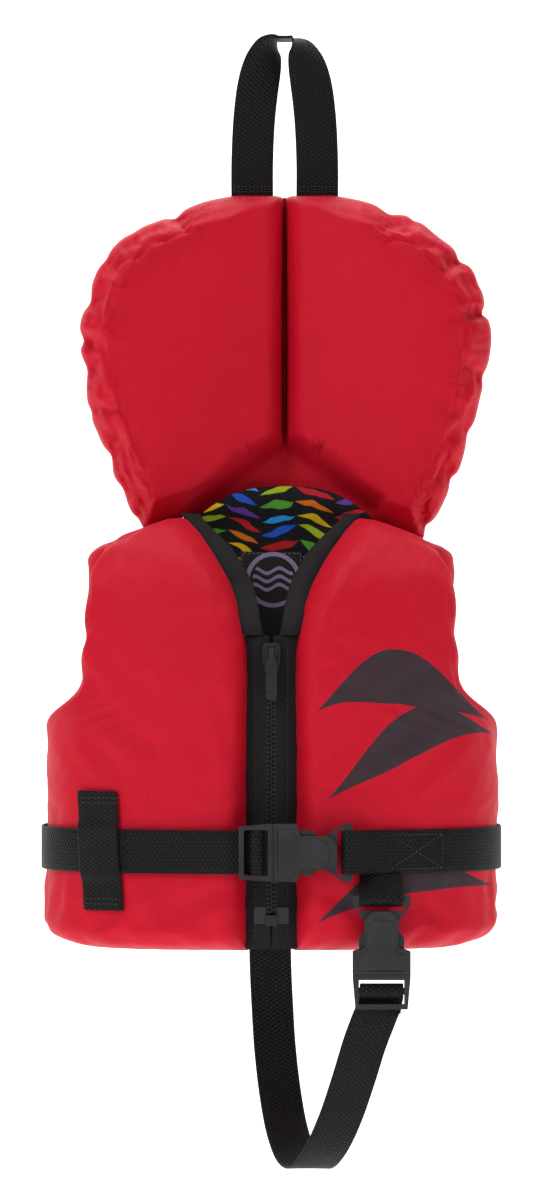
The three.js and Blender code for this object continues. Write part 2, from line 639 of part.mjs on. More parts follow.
/** Points round a buckle's bar. 0 degrees is towards the socket's bar end and 90 is to the front. */
function roundBar(along, y, from, to) {
  const turns = Math.round(Math.abs(to - from) / 45);
  return Array.from({ length: turns + 1 }, (_, i) => {
    const angle = THREE.MathUtils.degToRad(lerp(from, to, i / turns));
    return [along + WRAP * Math.cos(angle), y - WRAP * Math.sin(angle)];
  });
}

/** Point in the belt's middle plane, at an angle and layer. */
const beltPoint = (angle, out) => torsoPoint(angle, BELT_Z, out);
/** The belt sits lower on the thinner back pad. */
function beltOut(angle) {
  return lerp(BELT_OUT, BACK_BELT_OUT, smoothstep(angle, SEAM_ANGLE - 0.2, SEAM_ANGLE + 0.5));
}

const SOCKET_BAR_X = WAIST_MOUTH_X + BAR_X;
const SEWN_END_X = SOCKET_BAR_X + 30;
const beltStart = angleAt(SEWN_END_X + 14, BELT_OUT);
const beltEnd = 2 * Math.PI + angleAt(KEEPER_X + 4, BELT_OUT);
const BELT_RUN = 26; // points round the body
const roundTheBody = Array.from({ length: BELT_RUN + 1 }, (_, i) => {
  const angle = lerp(beltStart, beltEnd, i / BELT_RUN);
  return beltPoint(angle, beltOut(Math.min(angle, 2 * Math.PI - angle)));
});
const beltPoints = [
  beltPoint(angleAt(SEWN_END_X, BELT_OUT), BELT_OUT),
  beltPoint(angleAt(SEWN_END_X - 12, BELT_OUT), BELT_OUT),
  ...roundBar(SOCKET_BAR_X, WAIST_BUCKLE_Y, 270, 90).map(([x, y]) => [x, y, BELT_Z]),
  beltPoint(angleAt(SEWN_END_X - 14, BELT_OUT), BELT_OUT + LAYER + 1),
  beltPoint(angleAt(SEWN_END_X, BELT_OUT), BELT_OUT + LAYER),
  ...roundTheBody,
];
add("waist_belt", webbing(beltPoints, 2, acrossBelt), WEBBING_BLACK);

// adjustable end: under the plug, over its middle bar and back outside itself to a free tail
const LOCK_BAR_X = WAIST_MOUTH_X + PLUG_BAR_X;
const BEHIND_LOCK = BAR_THICKNESS / 2 + CLEARANCE + WEBBING / 2;
const TAIL_Y = WAIST_BUCKLE_Y + BEHIND_LOCK;
const underPlugY = TAIL_Y + LAYER;
const frontStart = angleAt(KEEPER_X + 5, BELT_OUT);
const beltFrontPoints = [
  beltPoint(frontStart, BELT_OUT),
  beltPoint(angleAt(-70, BELT_OUT), BELT_OUT),
  beltPoint(angleAt(-48, BELT_OUT), BELT_OUT),
  [-30, underPlugY, BELT_Z],
  [LOCK_BAR_X - 4, underPlugY, BELT_Z],
  ...roundBar(LOCK_BAR_X, WAIST_BUCKLE_Y, -45, 180).map(([x, y]) => [x, y, BELT_Z]),
  [LOCK_BAR_X - 7, TAIL_Y - 0.3, BELT_Z],
  [LOCK_BAR_X - 11, TAIL_Y, BELT_Z],
  [-27, TAIL_Y, BELT_Z],
  beltPoint(angleAt(-48, BELT_OUT), BELT_OUT + LAYER),
  beltPoint(angleAt(-70, BELT_OUT), BELT_OUT + LAYER),
  beltPoint(angleAt(BELT_TAIL_X, BELT_OUT), BELT_OUT + LAYER),
];
add("waist_belt_front", webbing(beltFrontPoints, 3, acrossBelt), WEBBING_BLACK);

/** Keeper: a strip sewn to the shell above and below the belt, which passes under it. */
const keeper = slab(3, 16, (u, v, w) => {
  const x = KEEPER_X + (u - 0.5) * KEEPER_WIDTH;
  const z = BELT_Z + (2 * v - 1) * KEEPER_HALF_LENGTH;
  const edge = angleAt(ZIP_HALF_OPENING, SHELL_TOP);
  const across = (angleAt(-x, SHELL_TOP) - edge) / (SEAM_ANGLE - edge);
  const up = (z - HEM_Z) / (shoulderTop(x) - HEM_Z);
  const onShell = RIM_OUT + FRONT_THICKNESS * crown(across) * crown(up);
  const overBelt = BELT_OUT + WEBBING / 2;
  const lift = 1 - smoothstep(Math.abs(z - BELT_Z), WEBBING_WIDTH / 2 + 1, WEBBING_WIDTH / 2 + 5);
  const out = lerp(onShell, overBelt, lift) + KEEPER_OFF + WEBBING * w;
  return torsoPoint(angleAt(x, out), z, out);
});
add("belt_keeper", keeper, WEBBING_BLACK);

// ---------------------------------------------------------------- crotch strap and its tab
const CROTCH_BAR_Z = CROTCH_MOUTH_Z + BAR_X;
const TAB_TOP_Z = BELT_Z - WEBBING_WIDTH / 2 - 2 * CLEARANCE;
const tabTopY = torsoPoint(angleAt(CROTCH_BUCKLE_X, BELT_OUT), TAB_TOP_Z, BELT_OUT)[1];
const tabPoints = [
  [CROTCH_BUCKLE_X, tabTopY - LAYER, TAB_TOP_Z],
  [CROTCH_BUCKLE_X, tabTopY - LAYER - 2.5, TAB_TOP_Z - 4],
  ...roundBar(CROTCH_BAR_Z, CROTCH_BUCKLE_Y, 90, 270).map(([z, y]) => [CROTCH_BUCKLE_X, y, z]),
  [CROTCH_BUCKLE_X, tabTopY - 1.2, TAB_TOP_Z - 4],
  [CROTCH_BUCKLE_X, tabTopY, TAB_TOP_Z],
];
add("crotch_tab", webbing(tabPoints, 3, () => [1, 0, 0]), WEBBING_BLACK);

// the strap hangs from the back hem, passes forward between the legs and rises to the plug
const LOCK_BAR_Z = CROTCH_MOUTH_Z + PLUG_BAR_X;
const strapBehindY = CROTCH_BUCKLE_Y + BEHIND_LOCK;
const strapPoints = [
  [-1, CAVITY_HALF_DEPTH + 1.2, HEM_Z - CLEARANCE - 0.2],
  [-0.4, 53, -270],
  [0.6, 53, -290],
  [2, 50, -312],
  [5, 41, -338],
  [9.5, 24, -361],
  [16, 2, -376],
  [23, -20, -378],
  [31, -42, -367],
  [40, -61, -346],
  [48, -74, -321],
  [54.5, -81, -299],
  [61, strapBehindY + 0.8, LOCK_BAR_Z - 13],
  [CROTCH_BUCKLE_X - 0.8, strapBehindY, LOCK_BAR_Z - 7],
  ...roundBar(LOCK_BAR_Z, CROTCH_BUCKLE_Y, 180, -45).map(([z, y]) => [CROTCH_BUCKLE_X, y, z]),
  [CROTCH_BUCKLE_X - 0.4, strapBehindY + LAYER, LOCK_BAR_Z - 4],
  [62.6, strapBehindY + LAYER, LOCK_BAR_Z - 12],
];
add("crotch_strap", webbing(strapPoints, 3, () => [1, 0, 0]), WEBBING_BLACK);

export default jacket;
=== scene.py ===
"""Infant life jacket: soft pads, printed linings, webbing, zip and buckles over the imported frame.

The wearer faces -Y and +Z is up. Shapes are worked out in millimetres and stored in metres.
"""

import math

import bmesh
import bpy
import numpy as np
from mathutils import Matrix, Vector, noise


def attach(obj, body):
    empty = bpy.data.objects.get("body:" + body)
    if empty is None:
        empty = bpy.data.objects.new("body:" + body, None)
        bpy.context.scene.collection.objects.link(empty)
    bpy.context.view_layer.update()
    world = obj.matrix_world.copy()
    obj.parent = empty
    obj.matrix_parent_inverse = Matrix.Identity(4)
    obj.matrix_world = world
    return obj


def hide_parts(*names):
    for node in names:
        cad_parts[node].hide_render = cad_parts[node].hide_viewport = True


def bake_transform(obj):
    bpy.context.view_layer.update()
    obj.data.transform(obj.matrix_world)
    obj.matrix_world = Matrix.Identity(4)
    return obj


bl_info = {
    "name": "Infant Life Jacket",
    "version": (1, 0, 0),
    "blender": (4, 5, 0),
    "location": "View3D > Sidebar > Jacket",
    "description": "Builds the pads, linings, webbing, zip and buckles of an infant life jacket",
    "category": "Add Mesh",
}

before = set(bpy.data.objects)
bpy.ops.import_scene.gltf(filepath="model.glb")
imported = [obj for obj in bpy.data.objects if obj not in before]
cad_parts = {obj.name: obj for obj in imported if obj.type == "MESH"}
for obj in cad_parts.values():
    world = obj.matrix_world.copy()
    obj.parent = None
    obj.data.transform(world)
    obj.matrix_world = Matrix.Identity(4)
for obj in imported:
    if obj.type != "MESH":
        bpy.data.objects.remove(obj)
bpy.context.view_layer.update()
MM = 0.001

# ---------------------------------------------------------------- sizes, in millimetres
LINING = 1.0
GAP = 0.3
HALF_WIDTH = 102.0  # the lining's rounded oblong, in plan
HALF_DEPTH = 50.0
SECTION_SHARE = 0.8
FRONT_THICK = 32.0
BACK_THICK = 29.0
RIM = LINING + GAP
FRONT_OUT = RIM + FRONT_THICK  # from the wearer to the face of a front panel
SEAM_ANGLE = math.radians(115)
HEM_Z = -248.0
HEM_LIFT = 14.0  # how far the hem rises towards the side seams
NECK_Z = 9.0
NECK_X = 49.0
ARM_X = 94.0
SHOULDER_SLOPE = 0.38
ZIP_X = 11.5
NECKLINE_Z = -75.0
NECKLINE_CURVE = 1.8
ARM_TURN_Z = -92.0
ARM_BOTTOM_Z = -128.0
LEAN_Z = -70.0
FRONT_LEAN = 38.0
BACK_LEAN = 8.0

COLLAR_X = 8.0
COLLAR_Y = 52.0
COLLAR_TOP = 204.0
COLLAR_WIDE_Z = 110.0
COLLAR_HALF = 123.0
COLLAR_BASE_HALF = 85.0
COLLAR_ARCH = 96.0
COLLAR_TAN = math.tan(math.radians(12))
COLLAR_FRONT = 30.0
COLLAR_BACK = 12.0
LOBE_CENTRE = (56.0, 104.0)  # where a lobe's rings meet, across and up
LOOP_X = 19.7  # the sewn ends of the grab loop, either side of the middle
LOOP_TOP = 299.0

WEB = 25.4
WEB_THICK = 1.6
LAYER = 2.1
BELT_Z = -188.0
KEEPER_X = -100.0
BELT_OUT = FRONT_OUT + GAP + WEB_THICK / 2
BACK_BELT_OUT = BELT_OUT - (FRONT_THICK - BACK_THICK)
WRAP = math.hypot(3.8, 3.2) / 2 + WEB_THICK / 2 + 0.45
WAIST_MOUTH_X = 1.5
WAIST_Y = -90.5
CROTCH_X = 64.0
CROTCH_Y = -88.0
CROTCH_MOUTH_Z = -258.5
BAR_X = 43.6
PLUG_BAR_X = -10.0
BEHIND_LOCK = 1.6 + GAP + WEB_THICK / 2
ZIP_Y = -62.0
SHEET = 0.8  # thickness of a sewn-in lining or facing
SIDES = (("right", -1), ("left", 1))


# ---------------------------------------------------------------- shared formulas
def smooth(low, high, value):
    """0 below low, 1 above high, and an even S between them."""
    t = np.clip((value - low) / (high - low), 0, 1)
    return t * t * (3 - 2 * t)


def mix(a, b, t):
    return a + (b - a) * t


def signed_power(value, power):
    return np.sign(value) * np.abs(value) ** power


def torso(angle, z, out):
    """Points on the vest, by angle from straight ahead towards +X, height and distance out."""
    ahead = np.cos(angle)
    rise = np.maximum(0, z - LEAN_Z) / (NECK_Z - LEAN_Z)
    lean = np.where(ahead > 0, FRONT_LEAN, BACK_LEAN)
    depth = HALF_DEPTH - lean * rise * rise + out
    x = (HALF_WIDTH + out) * signed_power(np.sin(angle), SECTION_SHARE)
    y = -depth * signed_power(ahead, SECTION_SHARE)
    return np.stack(np.broadcast_arrays(x, y, z), -1)


def angle_at(x, out):
    """The angle at which a layer of the vest reaches x on its front half."""
    return np.arcsin(signed_power(np.clip(x / (HALF_WIDTH + out), -1, 1), 1 / SECTION_SHARE))


def shoulder_top(x):
    return NECK_Z - SHOULDER_SLOPE * np.maximum(0, np.abs(x) - NECK_X)


def front_edge(z):
    """Half the opening between the front panels at a height."""
    rise = np.clip((z - NECKLINE_Z) / (NECK_Z - NECKLINE_Z), 0, 1)
    return ZIP_X + (NECK_X - ZIP_X) * rise**NECKLINE_CURVE


def under_arm(z):
    return 1 - smooth(ARM_BOTTOM_Z, ARM_TURN_Z, z)


def rounding(distance, radius, power=2.2):
    """0 at an edge, rising to 1 at radius as a squared-off quarter circle."""
    t = 1 - np.clip(distance / radius, 0, 1)
    return (1 - t**power) ** (1 / power)


def dense_ends(count, share=0.6):
    """Parameters from 0 to 1, closer together at both ends."""
    t = np.linspace(0, 1, count)
    return mix(t, 0.5 - 0.5 * np.cos(math.pi * t), share)


def hem_line(share, above=0):
    """Height of the hem, by share of the way from the middle to the side seam."""
    return HEM_Z + above + HEM_LIFT * np.clip((share - 0.45) / 0.55, 0, 1) ** 2.4


def spread(x, z):
    """Flat points over every pairing of x and z."""
    return np.stack([x + 0 * z, 0 * x + z, 0 * x * z], -1)


def strung(values):
    """Points strung out along one axis."""
    return np.stack([values, 0 * values, 0 * values], -1)


def run_along(points, axis):
    """Distance gone along the columns (axis 1) or the rows (axis 0) of a grid of points."""
    steps = np.linalg.norm(np.diff(points, axis=axis), axis=-1)
    start = np.zeros_like(np.take(steps, [0], axis))
    return np.concatenate([start, np.cumsum(steps, axis)], axis)


def ripple(points, scale, seed):
    """Smooth noise from -1 to 1 at each point, with features about scale millimetres across."""
    shift = Vector((seed * 17.3, seed * 5.1, seed * 9.7))
    flat = points.reshape(-1, 3) / scale
    values = [noise.noise(Vector(p) + shift) for p in flat]
    return np.array(values).reshape(points.shape[:-1])


# ---------------------------------------------------------------- meshes
def piece(name, vertices, faces, uvs=None, finish=None, smooth_shade=True):
    """A mesh object from millimetre points. uvs holds one pair of metres for each vertex."""
    mesh = bpy.data.meshes.new(name)
    mesh.from_pydata((np.asarray(vertices, float) * MM).tolist(), [], faces)
    if uvs is not None:
        layer = mesh.uv_layers.new(name="cloth")
        corner = np.zeros(len(mesh.loops), np.int32)
        mesh.loops.foreach_get("vertex_index", corner)
        layer.uv.foreach_set("vector", np.asarray(uvs, np.float32)[corner].ravel())
    mesh.polygons.foreach_set("use_smooth", [smooth_shade] * len(mesh.polygons))
    mesh.update()
    made = bpy.data.objects.new(name, mesh)
    bpy.context.scene.collection.objects.link(made)
    if finish is not None:
        mesh.materials.append(finish)
    return made


def modifier(made, kind, **settings):
    added = made.modifiers.new(kind.title(), kind)
    for key, value in settings.items():
        setattr(added, key, value)
    return added


def subdivide(made):
    modifier(made, "SUBSURF", levels=1, render_levels=1)


def round_edges(made, width, angle):
    """Rounds a moulding's edges sharper than angle, by width in millimetres."""
    modifier(
        made, "BEVEL", width=width * MM, segments=3, limit_method="ANGLE", angle_limit=angle
    )
    modifier(made, "WEIGHTED_NORMAL", keep_sharp=True)


def grid_faces(rows, columns, index, flip=False):
    faces = []
    for i in range(rows - 1):
        for j in range(columns - 1):
            face = (index(i, j), index(i, j + 1), index(i + 1, j + 1), index(i + 1, j))
            faces.append(face[::-1] if flip else face)
    return faces


def path_uv(points):
    """Metres along the rows and columns of a grid of points."""
    u, v = run_along(points, 1), run_along(points, 0)
    u -= u[:, u.shape[1] // 2 : u.shape[1] // 2 + 1]
    return np.stack([u, v], -1) * MM


def closed_pad(name, outer, inner, finish, flip=False):
    """A closed pad from two grids of points that share their rim."""
    rows, columns = outer.shape[:2]
    inside = {}
    vertices = list(outer.reshape(-1, 3))
    uvs = list(path_uv(outer).reshape(-1, 2))
    for i in range(1, rows - 1):
        for j in range(1, columns - 1):
            inside[i, j] = len(vertices)
            vertices.append(inner[i, j])
            uvs.append(uvs[i * columns + j])
    faces = grid_faces(rows, columns, lambda i, j: i * columns + j, flip)
    faces += grid_faces(
        rows, columns, lambda i, j: inside.get((i, j), i * columns + j), not flip
    )
    return piece(name, vertices, faces, uvs, finish)


def settle(made, hold, frames, pressure, spare, limit):
    """Lets the cloth of a pad relax with spare fabric, held back by weights, and keeps the result."""
    scene = bpy.context.scene
    mesh = made.data
    start = np.zeros(len(mesh.vertices) * 3)
    mesh.vertices.foreach_get("co", start)
    group = made.vertex_groups.new(name="hold")
    for index, weight in enumerate(hold):
        group.add([index], float(weight), "REPLACE")
    cloth = modifier(made, "CLOTH")
    rules = cloth.settings
    rules.quality = 5
    rules.mass = 0.25
    rules.tension_stiffness = 25
    rules.compression_stiffness = 25
    rules.shear_stiffness = 8
    rules.bending_stiffness = 0.6
    rules.air_damping = 4
    rules.use_pressure = True
    rules.uniform_pressure_force = pressure
    rules.shrink_min = -spare
    rules.vertex_group_mass = "hold"
    rules.pin_stiffness = 1.0
    rules.effector_weights.gravity = 0
    cloth.point_cache.frame_start = 1
    cloth.point_cache.frame_end = frames
    for step in range(1, frames + 1):
        scene.frame_set(step)
    shape = made.evaluated_get(bpy.context.evaluated_depsgraph_get()).data
    end = np.zeros(len(mesh.vertices) * 3)
    shape.vertices.foreach_get("co", end)
    made.modifiers.remove(cloth)
    scene.frame_set(1)
    move = (end - start).reshape(-1, 3)
    far = np.linalg.norm(move, axis=1, keepdims=True)
    move *= np.minimum(1, limit * MM / np.maximum(far, 1e-9))
    if not np.isfinite(move).all():
        raise RuntimeError(made.name + " did not settle")
    mesh.vertices.foreach_set("co", (start.reshape(-1, 3) + move).ravel())
    mesh.update()
    made.vertex_groups.remove(made.vertex_groups["hold"])


def curve_points(knots, steps):
    """Centripetal Catmull-Rom points and tangents through knots, with steps to each span."""
    knots = np.asarray(knots, float)
    padded = np.vstack([2 * knots[0] - knots[1], knots, 2 * knots[-1] - knots[-2]])
    points, tangents = [], []
    for i in range(len(knots) - 1):
        p0, p1, p2, p3 = padded[i : i + 4]
        d0, d1, d2 = (np.linalg.norm(b - a) ** 0.5 for a, b in ((p0, p1), (p1, p2), (p2, p3)))
        d1 = d1 or 1
        d0, d2 = d0 or d1, d2 or d1
        t1 = ((p1 - p0) / d0 - (p2 - p0) / (d0 + d1) + (p2 - p1) / d1) * d1
        t2 = ((p2 - p1) / d1 - (p3 - p1) / (d1 + d2) + (p3 - p2) / d2) * d1
        c2 = -3 * p1 + 3 * p2 - 2 * t1 - t2
        c3 = 2 * p1 - 2 * p2 + t1 + t2
        last = i == len(knots) - 2
        for k in range(steps + (1 if last else 0)):
            t = k / steps
            points.append(p1 + t1 * t + c2 * t * t + c3 * t**3)
            tangents.append(t1 + 2 * c2 * t + 3 * c3 * t * t)
    return np.array(points), np.array(tangents)


def ribbon(name, knots, steps, across, finish):
    """Webbing along knots, its width running the way across(share) says, and its middle line."""
    centre, along = curve_points(knots, steps)
    count = len(centre)
    along /= np.linalg.norm(along, axis=1, keepdims=True)
    wide = np.array([across(i / (count - 1)) for i in range(count)], float)
    wide -= along * (wide * along).sum(1, keepdims=True)
    wide /= np.linalg.norm(wide, axis=1, keepdims=True)
    normal = np.cross(along, wide)
    half, deep = WEB / 2, WEB_THICK / 2
    edge = 0.7  # how far in the selvedge thins
    marks = [-half, -half + edge * 0.3, -half + edge, -half * 0.6, -half * 0.2]
    marks += [-m for m in reversed(marks)]
    top = [(m, deep * (1 - max(0, (abs(m) - half + edge) / edge) ** 2 * 0.75)) for m in marks]
    section = top + [(m, -h) for m, h in reversed(top)]
    length = np.concatenate([[0], np.cumsum(np.linalg.norm(np.diff(centre, axis=0), axis=1))])
    ring = len(section)
    vertices, uvs = [], []
    for i in range(count):
        for k, (m, h) in enumerate(section):
            vertices.append(centre[i] + wide[i] * m + normal[i] * h)
            other_face = 60 if k >= len(top) else 0  # laid out clear of the first face
            uvs.append(((m + other_face) * MM, length[i] * MM))
    faces = []
    for i in range(count - 1):
        for k in range(ring):
            n = (k + 1) % ring
            faces.append((i * ring + k, i * ring + n, (i + 1) * ring + n, (i + 1) * ring + k))
    faces.append(tuple(range(ring)))
    faces.append(tuple(reversed(range((count - 1) * ring, count * ring))))
    made = piece(name, vertices, [f[::-1] for f in faces], uvs, finish)
    return made, centre


def beads(name, places, finish, sides=6):
    """Many small capsules in one mesh: each place is a centre, half length vector and radius."""
    vertices, faces = [], []
    for centre, half, radius in places:
        centre, half = np.array(centre, float), np.array(half, float)
        along = half / np.linalg.norm(half)
        other = np.cross(along, [0.3, 0.9, 0.31])
        other /= np.linalg.norm(other)
        third = np.cross(along, other)
        first = len(vertices)
        for share, wide in ((-1, 0.35), (-0.65, 1), (0.65, 1), (1, 0.35)):
            for k in range(sides):
                turn = 2 * math.pi * k / sides
                spoke = other * math.cos(turn) + third * math.sin(turn)
                vertices.append(centre + half * share + spoke * radius * wide)
        for ring in range(3):
            for k in range(sides):
                n = (k + 1) % sides
                a, b = first + ring * sides, first + (ring + 1) * sides
                faces.append((a + k, a + n, b + n, b + k))
        faces.append(tuple(first + k for k in reversed(range(sides))))
        faces.append(tuple(first + 3 * sides + k for k in range(sides)))
    return piece(name, vertices, faces, None, finish)


# ---------------------------------------------------------------- node helpers
def node(tree, kind, place, **settings):
    made = tree.nodes.new("ShaderNode" + kind)
    made.location = (place[0] * 190, place[1] * -170)
    for key, value in settings.items():
        setattr(made, key, value)
    return made


def feed(tree, socket, value):
    """Sets a socket to a number or a linear RGB colour, or links another socket to it."""
    if isinstance(value, (int, float)):
        socket.default_value = value
    elif isinstance(value, (tuple, list)):
        socket.default_value = (*value[:3], 1)
    else:
        tree.links.new(value, socket)


def calc(tree, place, operation, *inputs):
    made = node(tree, "Math", place, operation=operation)
    for index, value in enumerate(inputs):
        feed(tree, made.inputs[index], value)
    return made.outputs[0]


def blend_colour(tree, place, share, first, second):
    made = node(tree, "Mix", place, data_type="RGBA")
    for index, value in ((0, share), (6, first), (7, second)):
        feed(tree, made.inputs[index], value)
    return made.outputs[2]


def grain_texture(tree, place, vector, scale, detail=2.0):
    made = node(tree, "TexNoise", place)
    for label, value in (("Vector", vector), ("Scale", scale), ("Detail", detail)):
        feed(tree, made.inputs[label], value)
    return made


def map_range(tree, place, value, low, high, **settings):
    """Maps low to high onto 0 to 1."""
    made = node(tree, "MapRange", place, **settings)
    for label, given in (("Value", value), ("From Min", low), ("From Max", high)):
        feed(tree, made.inputs[label], given)
    return made.outputs[0]


def split_point(tree, place, vector):
    """The X, Y and Z of a point, as sockets."""
    made = node(tree, "SeparateXYZ", place)
    tree.links.new(vector, made.inputs[0])
    return made.outputs


def surface(tree, shader, colour, rough, specular=0.5):
    for label, value in (
        ("Base Color", colour), ("Roughness", rough), ("Specular IOR Level", specular),
    ):
        feed(tree, shader.inputs[label], value)


def new_group(name, inputs, outputs):
    """A shader node group. inputs are (name, socket, default) and outputs are (name, socket)."""
    group = bpy.data.node_groups.new(name, "ShaderNodeTree")
    for label, socket, default in inputs:
        made = group.interface.new_socket(label, in_out="INPUT", socket_type="NodeSocket" + socket)
        if default is not None:
            made.default_value = default
    for label, socket in outputs:
        group.interface.new_socket(label, in_out="OUTPUT", socket_type="NodeSocket" + socket)
    return group, group.nodes.new("NodeGroupInput"), group.nodes.new("NodeGroupOutput")


def plain_weave_group():
    """Plain woven cloth: crossing threads with slubs. Puts out thread height and a painted thread shade,
    lighter on the raised crossings and darker in the hollows, with the slubs' tone added.
    """
    group, given, out = new_group(
        "Plain weave",
        [("Vector", "Vector", None), ("Thread", "Float", 0.001), ("Slub", "Float", 0.5)],
        [("Height", "Float"), ("Shade", "Float")],
    )
    place = split_point(group, (1, 0), given.outputs["Vector"])
    turns = calc(group, (1, 1), "DIVIDE", 2 * math.pi, given.outputs["Thread"])
    warp = calc(group, (3, 0), "SINE", calc(group, (2, 0), "MULTIPLY", place[0], turns))
    weft = calc(group, (3, 1), "SINE", calc(group, (2, 1), "MULTIPLY", place[1], turns))
    cross = calc(group, (4, 0), "MULTIPLY", warp, weft)
    slubs = []
    for row, stretch in enumerate(((1, 0.06, 1), (0.06, 1, 1))):
        mapping = node(group, "Mapping", (2, 3 + row))
        mapping.inputs["Scale"].default_value = stretch
        group.links.new(given.outputs["Vector"], mapping.inputs["Vector"])
        slubs.append(grain_texture(group, (3, 3 + row), mapping.outputs[0], 900).outputs[0])
    both = calc(group, (4, 3), "ADD", slubs[0], slubs[1])
    centred = calc(group, (5, 3), "SUBTRACT", both, 1.0)
    slub = calc(group, (6, 3), "MULTIPLY", centred, given.outputs["Slub"])
    half = calc(group, (5, 0), "MULTIPLY_ADD", cross, 0.5, 0.5)
    group.links.new(calc(group, (7, 0), "ADD", half, slub), out.inputs["Height"])
    # Painted shade: the colour tone follows the thread height, with slub tone added.
    shade = calc(group, (7, 1), "MULTIPLY_ADD", cross, 0.25, 0.5)
    group.links.new(calc(group, (8, 1), "ADD", shade, slub), out.inputs["Shade"])
    return group


def webbing_weave_group():
    """Ribbed webbing: rows of floats along the length, staggered from row to row. Its shade output is a
    painted highlight on the float tops and painted shade in the hollows, broken up by grain.
    """
    group, given, out = new_group(
        "Webbing weave",
        [("Vector", "Vector", None), ("Row", "Float", 0.0021), ("Float length", "Float", 0.0026)],
        [("Height", "Float"), ("Shade", "Float")],
    )
    place = split_point(group, (1, 0), given.outputs["Vector"])
    rows = calc(group, (2, 0), "DIVIDE", place[0], given.outputs["Row"])
    row = calc(group, (3, 0), "FLOOR", rows)
    inside = calc(group, (3, 1), "FRACT", rows)
    parity = calc(group, (4, 0), "FLOORED_MODULO", row, 2.0)
    along = calc(group, (2, 2), "DIVIDE", place[1], given.outputs["Float length"])
    stagger = calc(group, (5, 1), "MULTIPLY_ADD", parity, 0.5, along)
    slant = calc(group, (6, 1), "MULTIPLY_ADD", inside, 0.25, stagger)
    wave = calc(group, (8, 1), "COSINE", calc(group, (7, 1), "MULTIPLY", slant, 2 * math.pi))
    floats = calc(group, (9, 1), "MULTIPLY_ADD", wave, 0.5, 0.5)
    centred = calc(group, (4, 2), "MULTIPLY_ADD", inside, 2.0, -1.0)
    profile = calc(group, (6, 2), "SUBTRACT", 1.0, calc(group, (5, 2), "POWER", centred, 2.0))
    height = calc(group, (10, 1), "MULTIPLY", profile, floats)
    group.links.new(height, out.inputs["Height"])
    grain = grain_texture(group, (9, 3), given.outputs["Vector"], 700)
    # Painted highlight and shade: float height times random grain.
    group.links.new(calc(group, (11, 2), "MULTIPLY", height, grain.outputs[0]), out.inputs["Shade"])
    return group


def handling_group():
    """Uneven wear from handling: broad soft patches and fine specks, both from 0 to 1."""
    group, given, out = new_group(
        "Handling wear",
        [("Vector", "Vector", None), ("Patch scale", "Float", 20), ("Speck scale", "Float", 600)],
        [("Patches", "Float"), ("Specks", "Float")],
    )
    for row, (scale, label) in enumerate((("Patch scale", "Patches"), ("Speck scale", "Specks"))):
        grain = grain_texture(
            group, (1, row), given.outputs["Vector"], given.outputs[scale], detail=4
        )
        group.links.new(map_range(group, (2, row), grain.outputs[0], 0.3, 0.7), out.inputs[label])
    return group


def cloth_place(tree):
    """Where a point lies on its flat cloth, in metres."""
    made = node(tree, "UVMap", (-3, 0))
    made.uv_map = "cloth"
    return made.outputs[0]


def object_place(tree):
    return node(tree, "TexCoord", (-3, 1)).outputs["Object"]


def placed_group(tree, group, place, vector, **values):
    made = node(tree, "Group", place)
    made.node_tree = group
    tree.links.new(vector, made.inputs["Vector"])
    for key, value in values.items():
        made.inputs[key.replace("_", " ")].default_value = value
    return made


def new_material(name):
    made = bpy.data.materials.new(name)
    made.use_nodes = True
    return made, made.node_tree, made.node_tree.nodes["Principled BSDF"]


def set_bump(tree, shader, height, distance, strength, place=(2, 3)):
    bump = node(tree, "Bump", place)
    bump.inputs["Distance"].default_value = distance
    bump.inputs["Strength"].default_value = strength
    tree.links.new(height, bump.inputs["Height"])
    tree.links.new(bump.outputs[0], shader.inputs["Normal"])


def shell_cloth(name, groups, colour, print_mask=None):
    """Red nylon with a visible canvas grain, a soft sheen and faint handling marks. The grain's tone is
    painted thread shade, lighter on the raised threads and darker in the hollows.
    """
    made, tree, shader = new_material(name)
    weave = placed_group(tree, groups["weave"], (-2, 0), cloth_place(tree), Thread=0.0013, Slub=0.7)
    wear = placed_group(
        tree, groups["wear"], (-2, 2), object_place(tree), Patch_scale=14, Speck_scale=500
    )
    # Painted thread shade: dark in the thread hollows, light on the raised threads. The light tone also
    # colours the faded handling patches.
    dark = tuple(c * 0.8 for c in colour)
    light = tuple(min(1, c * 1.14 + 0.003) for c in colour)
    threads = blend_colour(tree, (-1, 0), weave.outputs["Shade"], dark, light)
    faded = blend_colour(tree, (-1, 2), wear.outputs["Patches"], colour, light)
    cloth = blend_colour(tree, (0, 0), 0.35, threads, faded)
    rough = calc(tree, (1, 2), "MULTIPLY_ADD", wear.outputs["Patches"], 0.1, 0.5)
    if print_mask is not None:
        ink = print_mask(tree)
        worn = calc(tree, (1, 4), "MULTIPLY_ADD", weave.outputs["Shade"], 0.3, 0.82)
        ink = calc(tree, (1, 5), "MULTIPLY", ink, calc(tree, (1, 6), "MINIMUM", worn, 1.0))
        # The grey ink also carries the painted thread shade.
        grey = blend_colour(
            tree, (0, 5), weave.outputs["Shade"], (0.014, 0.015, 0.019), (0.042, 0.045, 0.055)
        )
        cloth = blend_colour(tree, (1, 0), ink, cloth, grey)
    surface(tree, shader, cloth, rough, 0.12)
    shader.inputs["Sheen Weight"].default_value = 0.008
    shader.inputs["Sheen Roughness"].default_value = 0.4
    shader.inputs["Sheen Tint"].default_value = (1, 0.5, 0.55, 1)
    set_bump(tree, shader, weave.outputs["Height"], 0.00018, 0.55)
    return made


# Each printed wave: height, slope, bow, half thickness, left end, right end and phase.
WAVE_BANDS = (
    (-0.118, 0.12, 0.024, 0.0165, 0.020, 0.134, 0.15),
    (-0.156, 0.20, 0.022, 0.0150, 0.026, 0.138, 0.45),
    (-0.236, 0.22, 0.016, 0.0105, 0.018, 0.140, 0.25),
    (-0.086, 0.55, 0.010, 0.0011, 0.004, 0.066, 0.10),
)
HALF_WAVE = 0.1
PRINT_EDGE = 0.0004  # softness of the print's edge


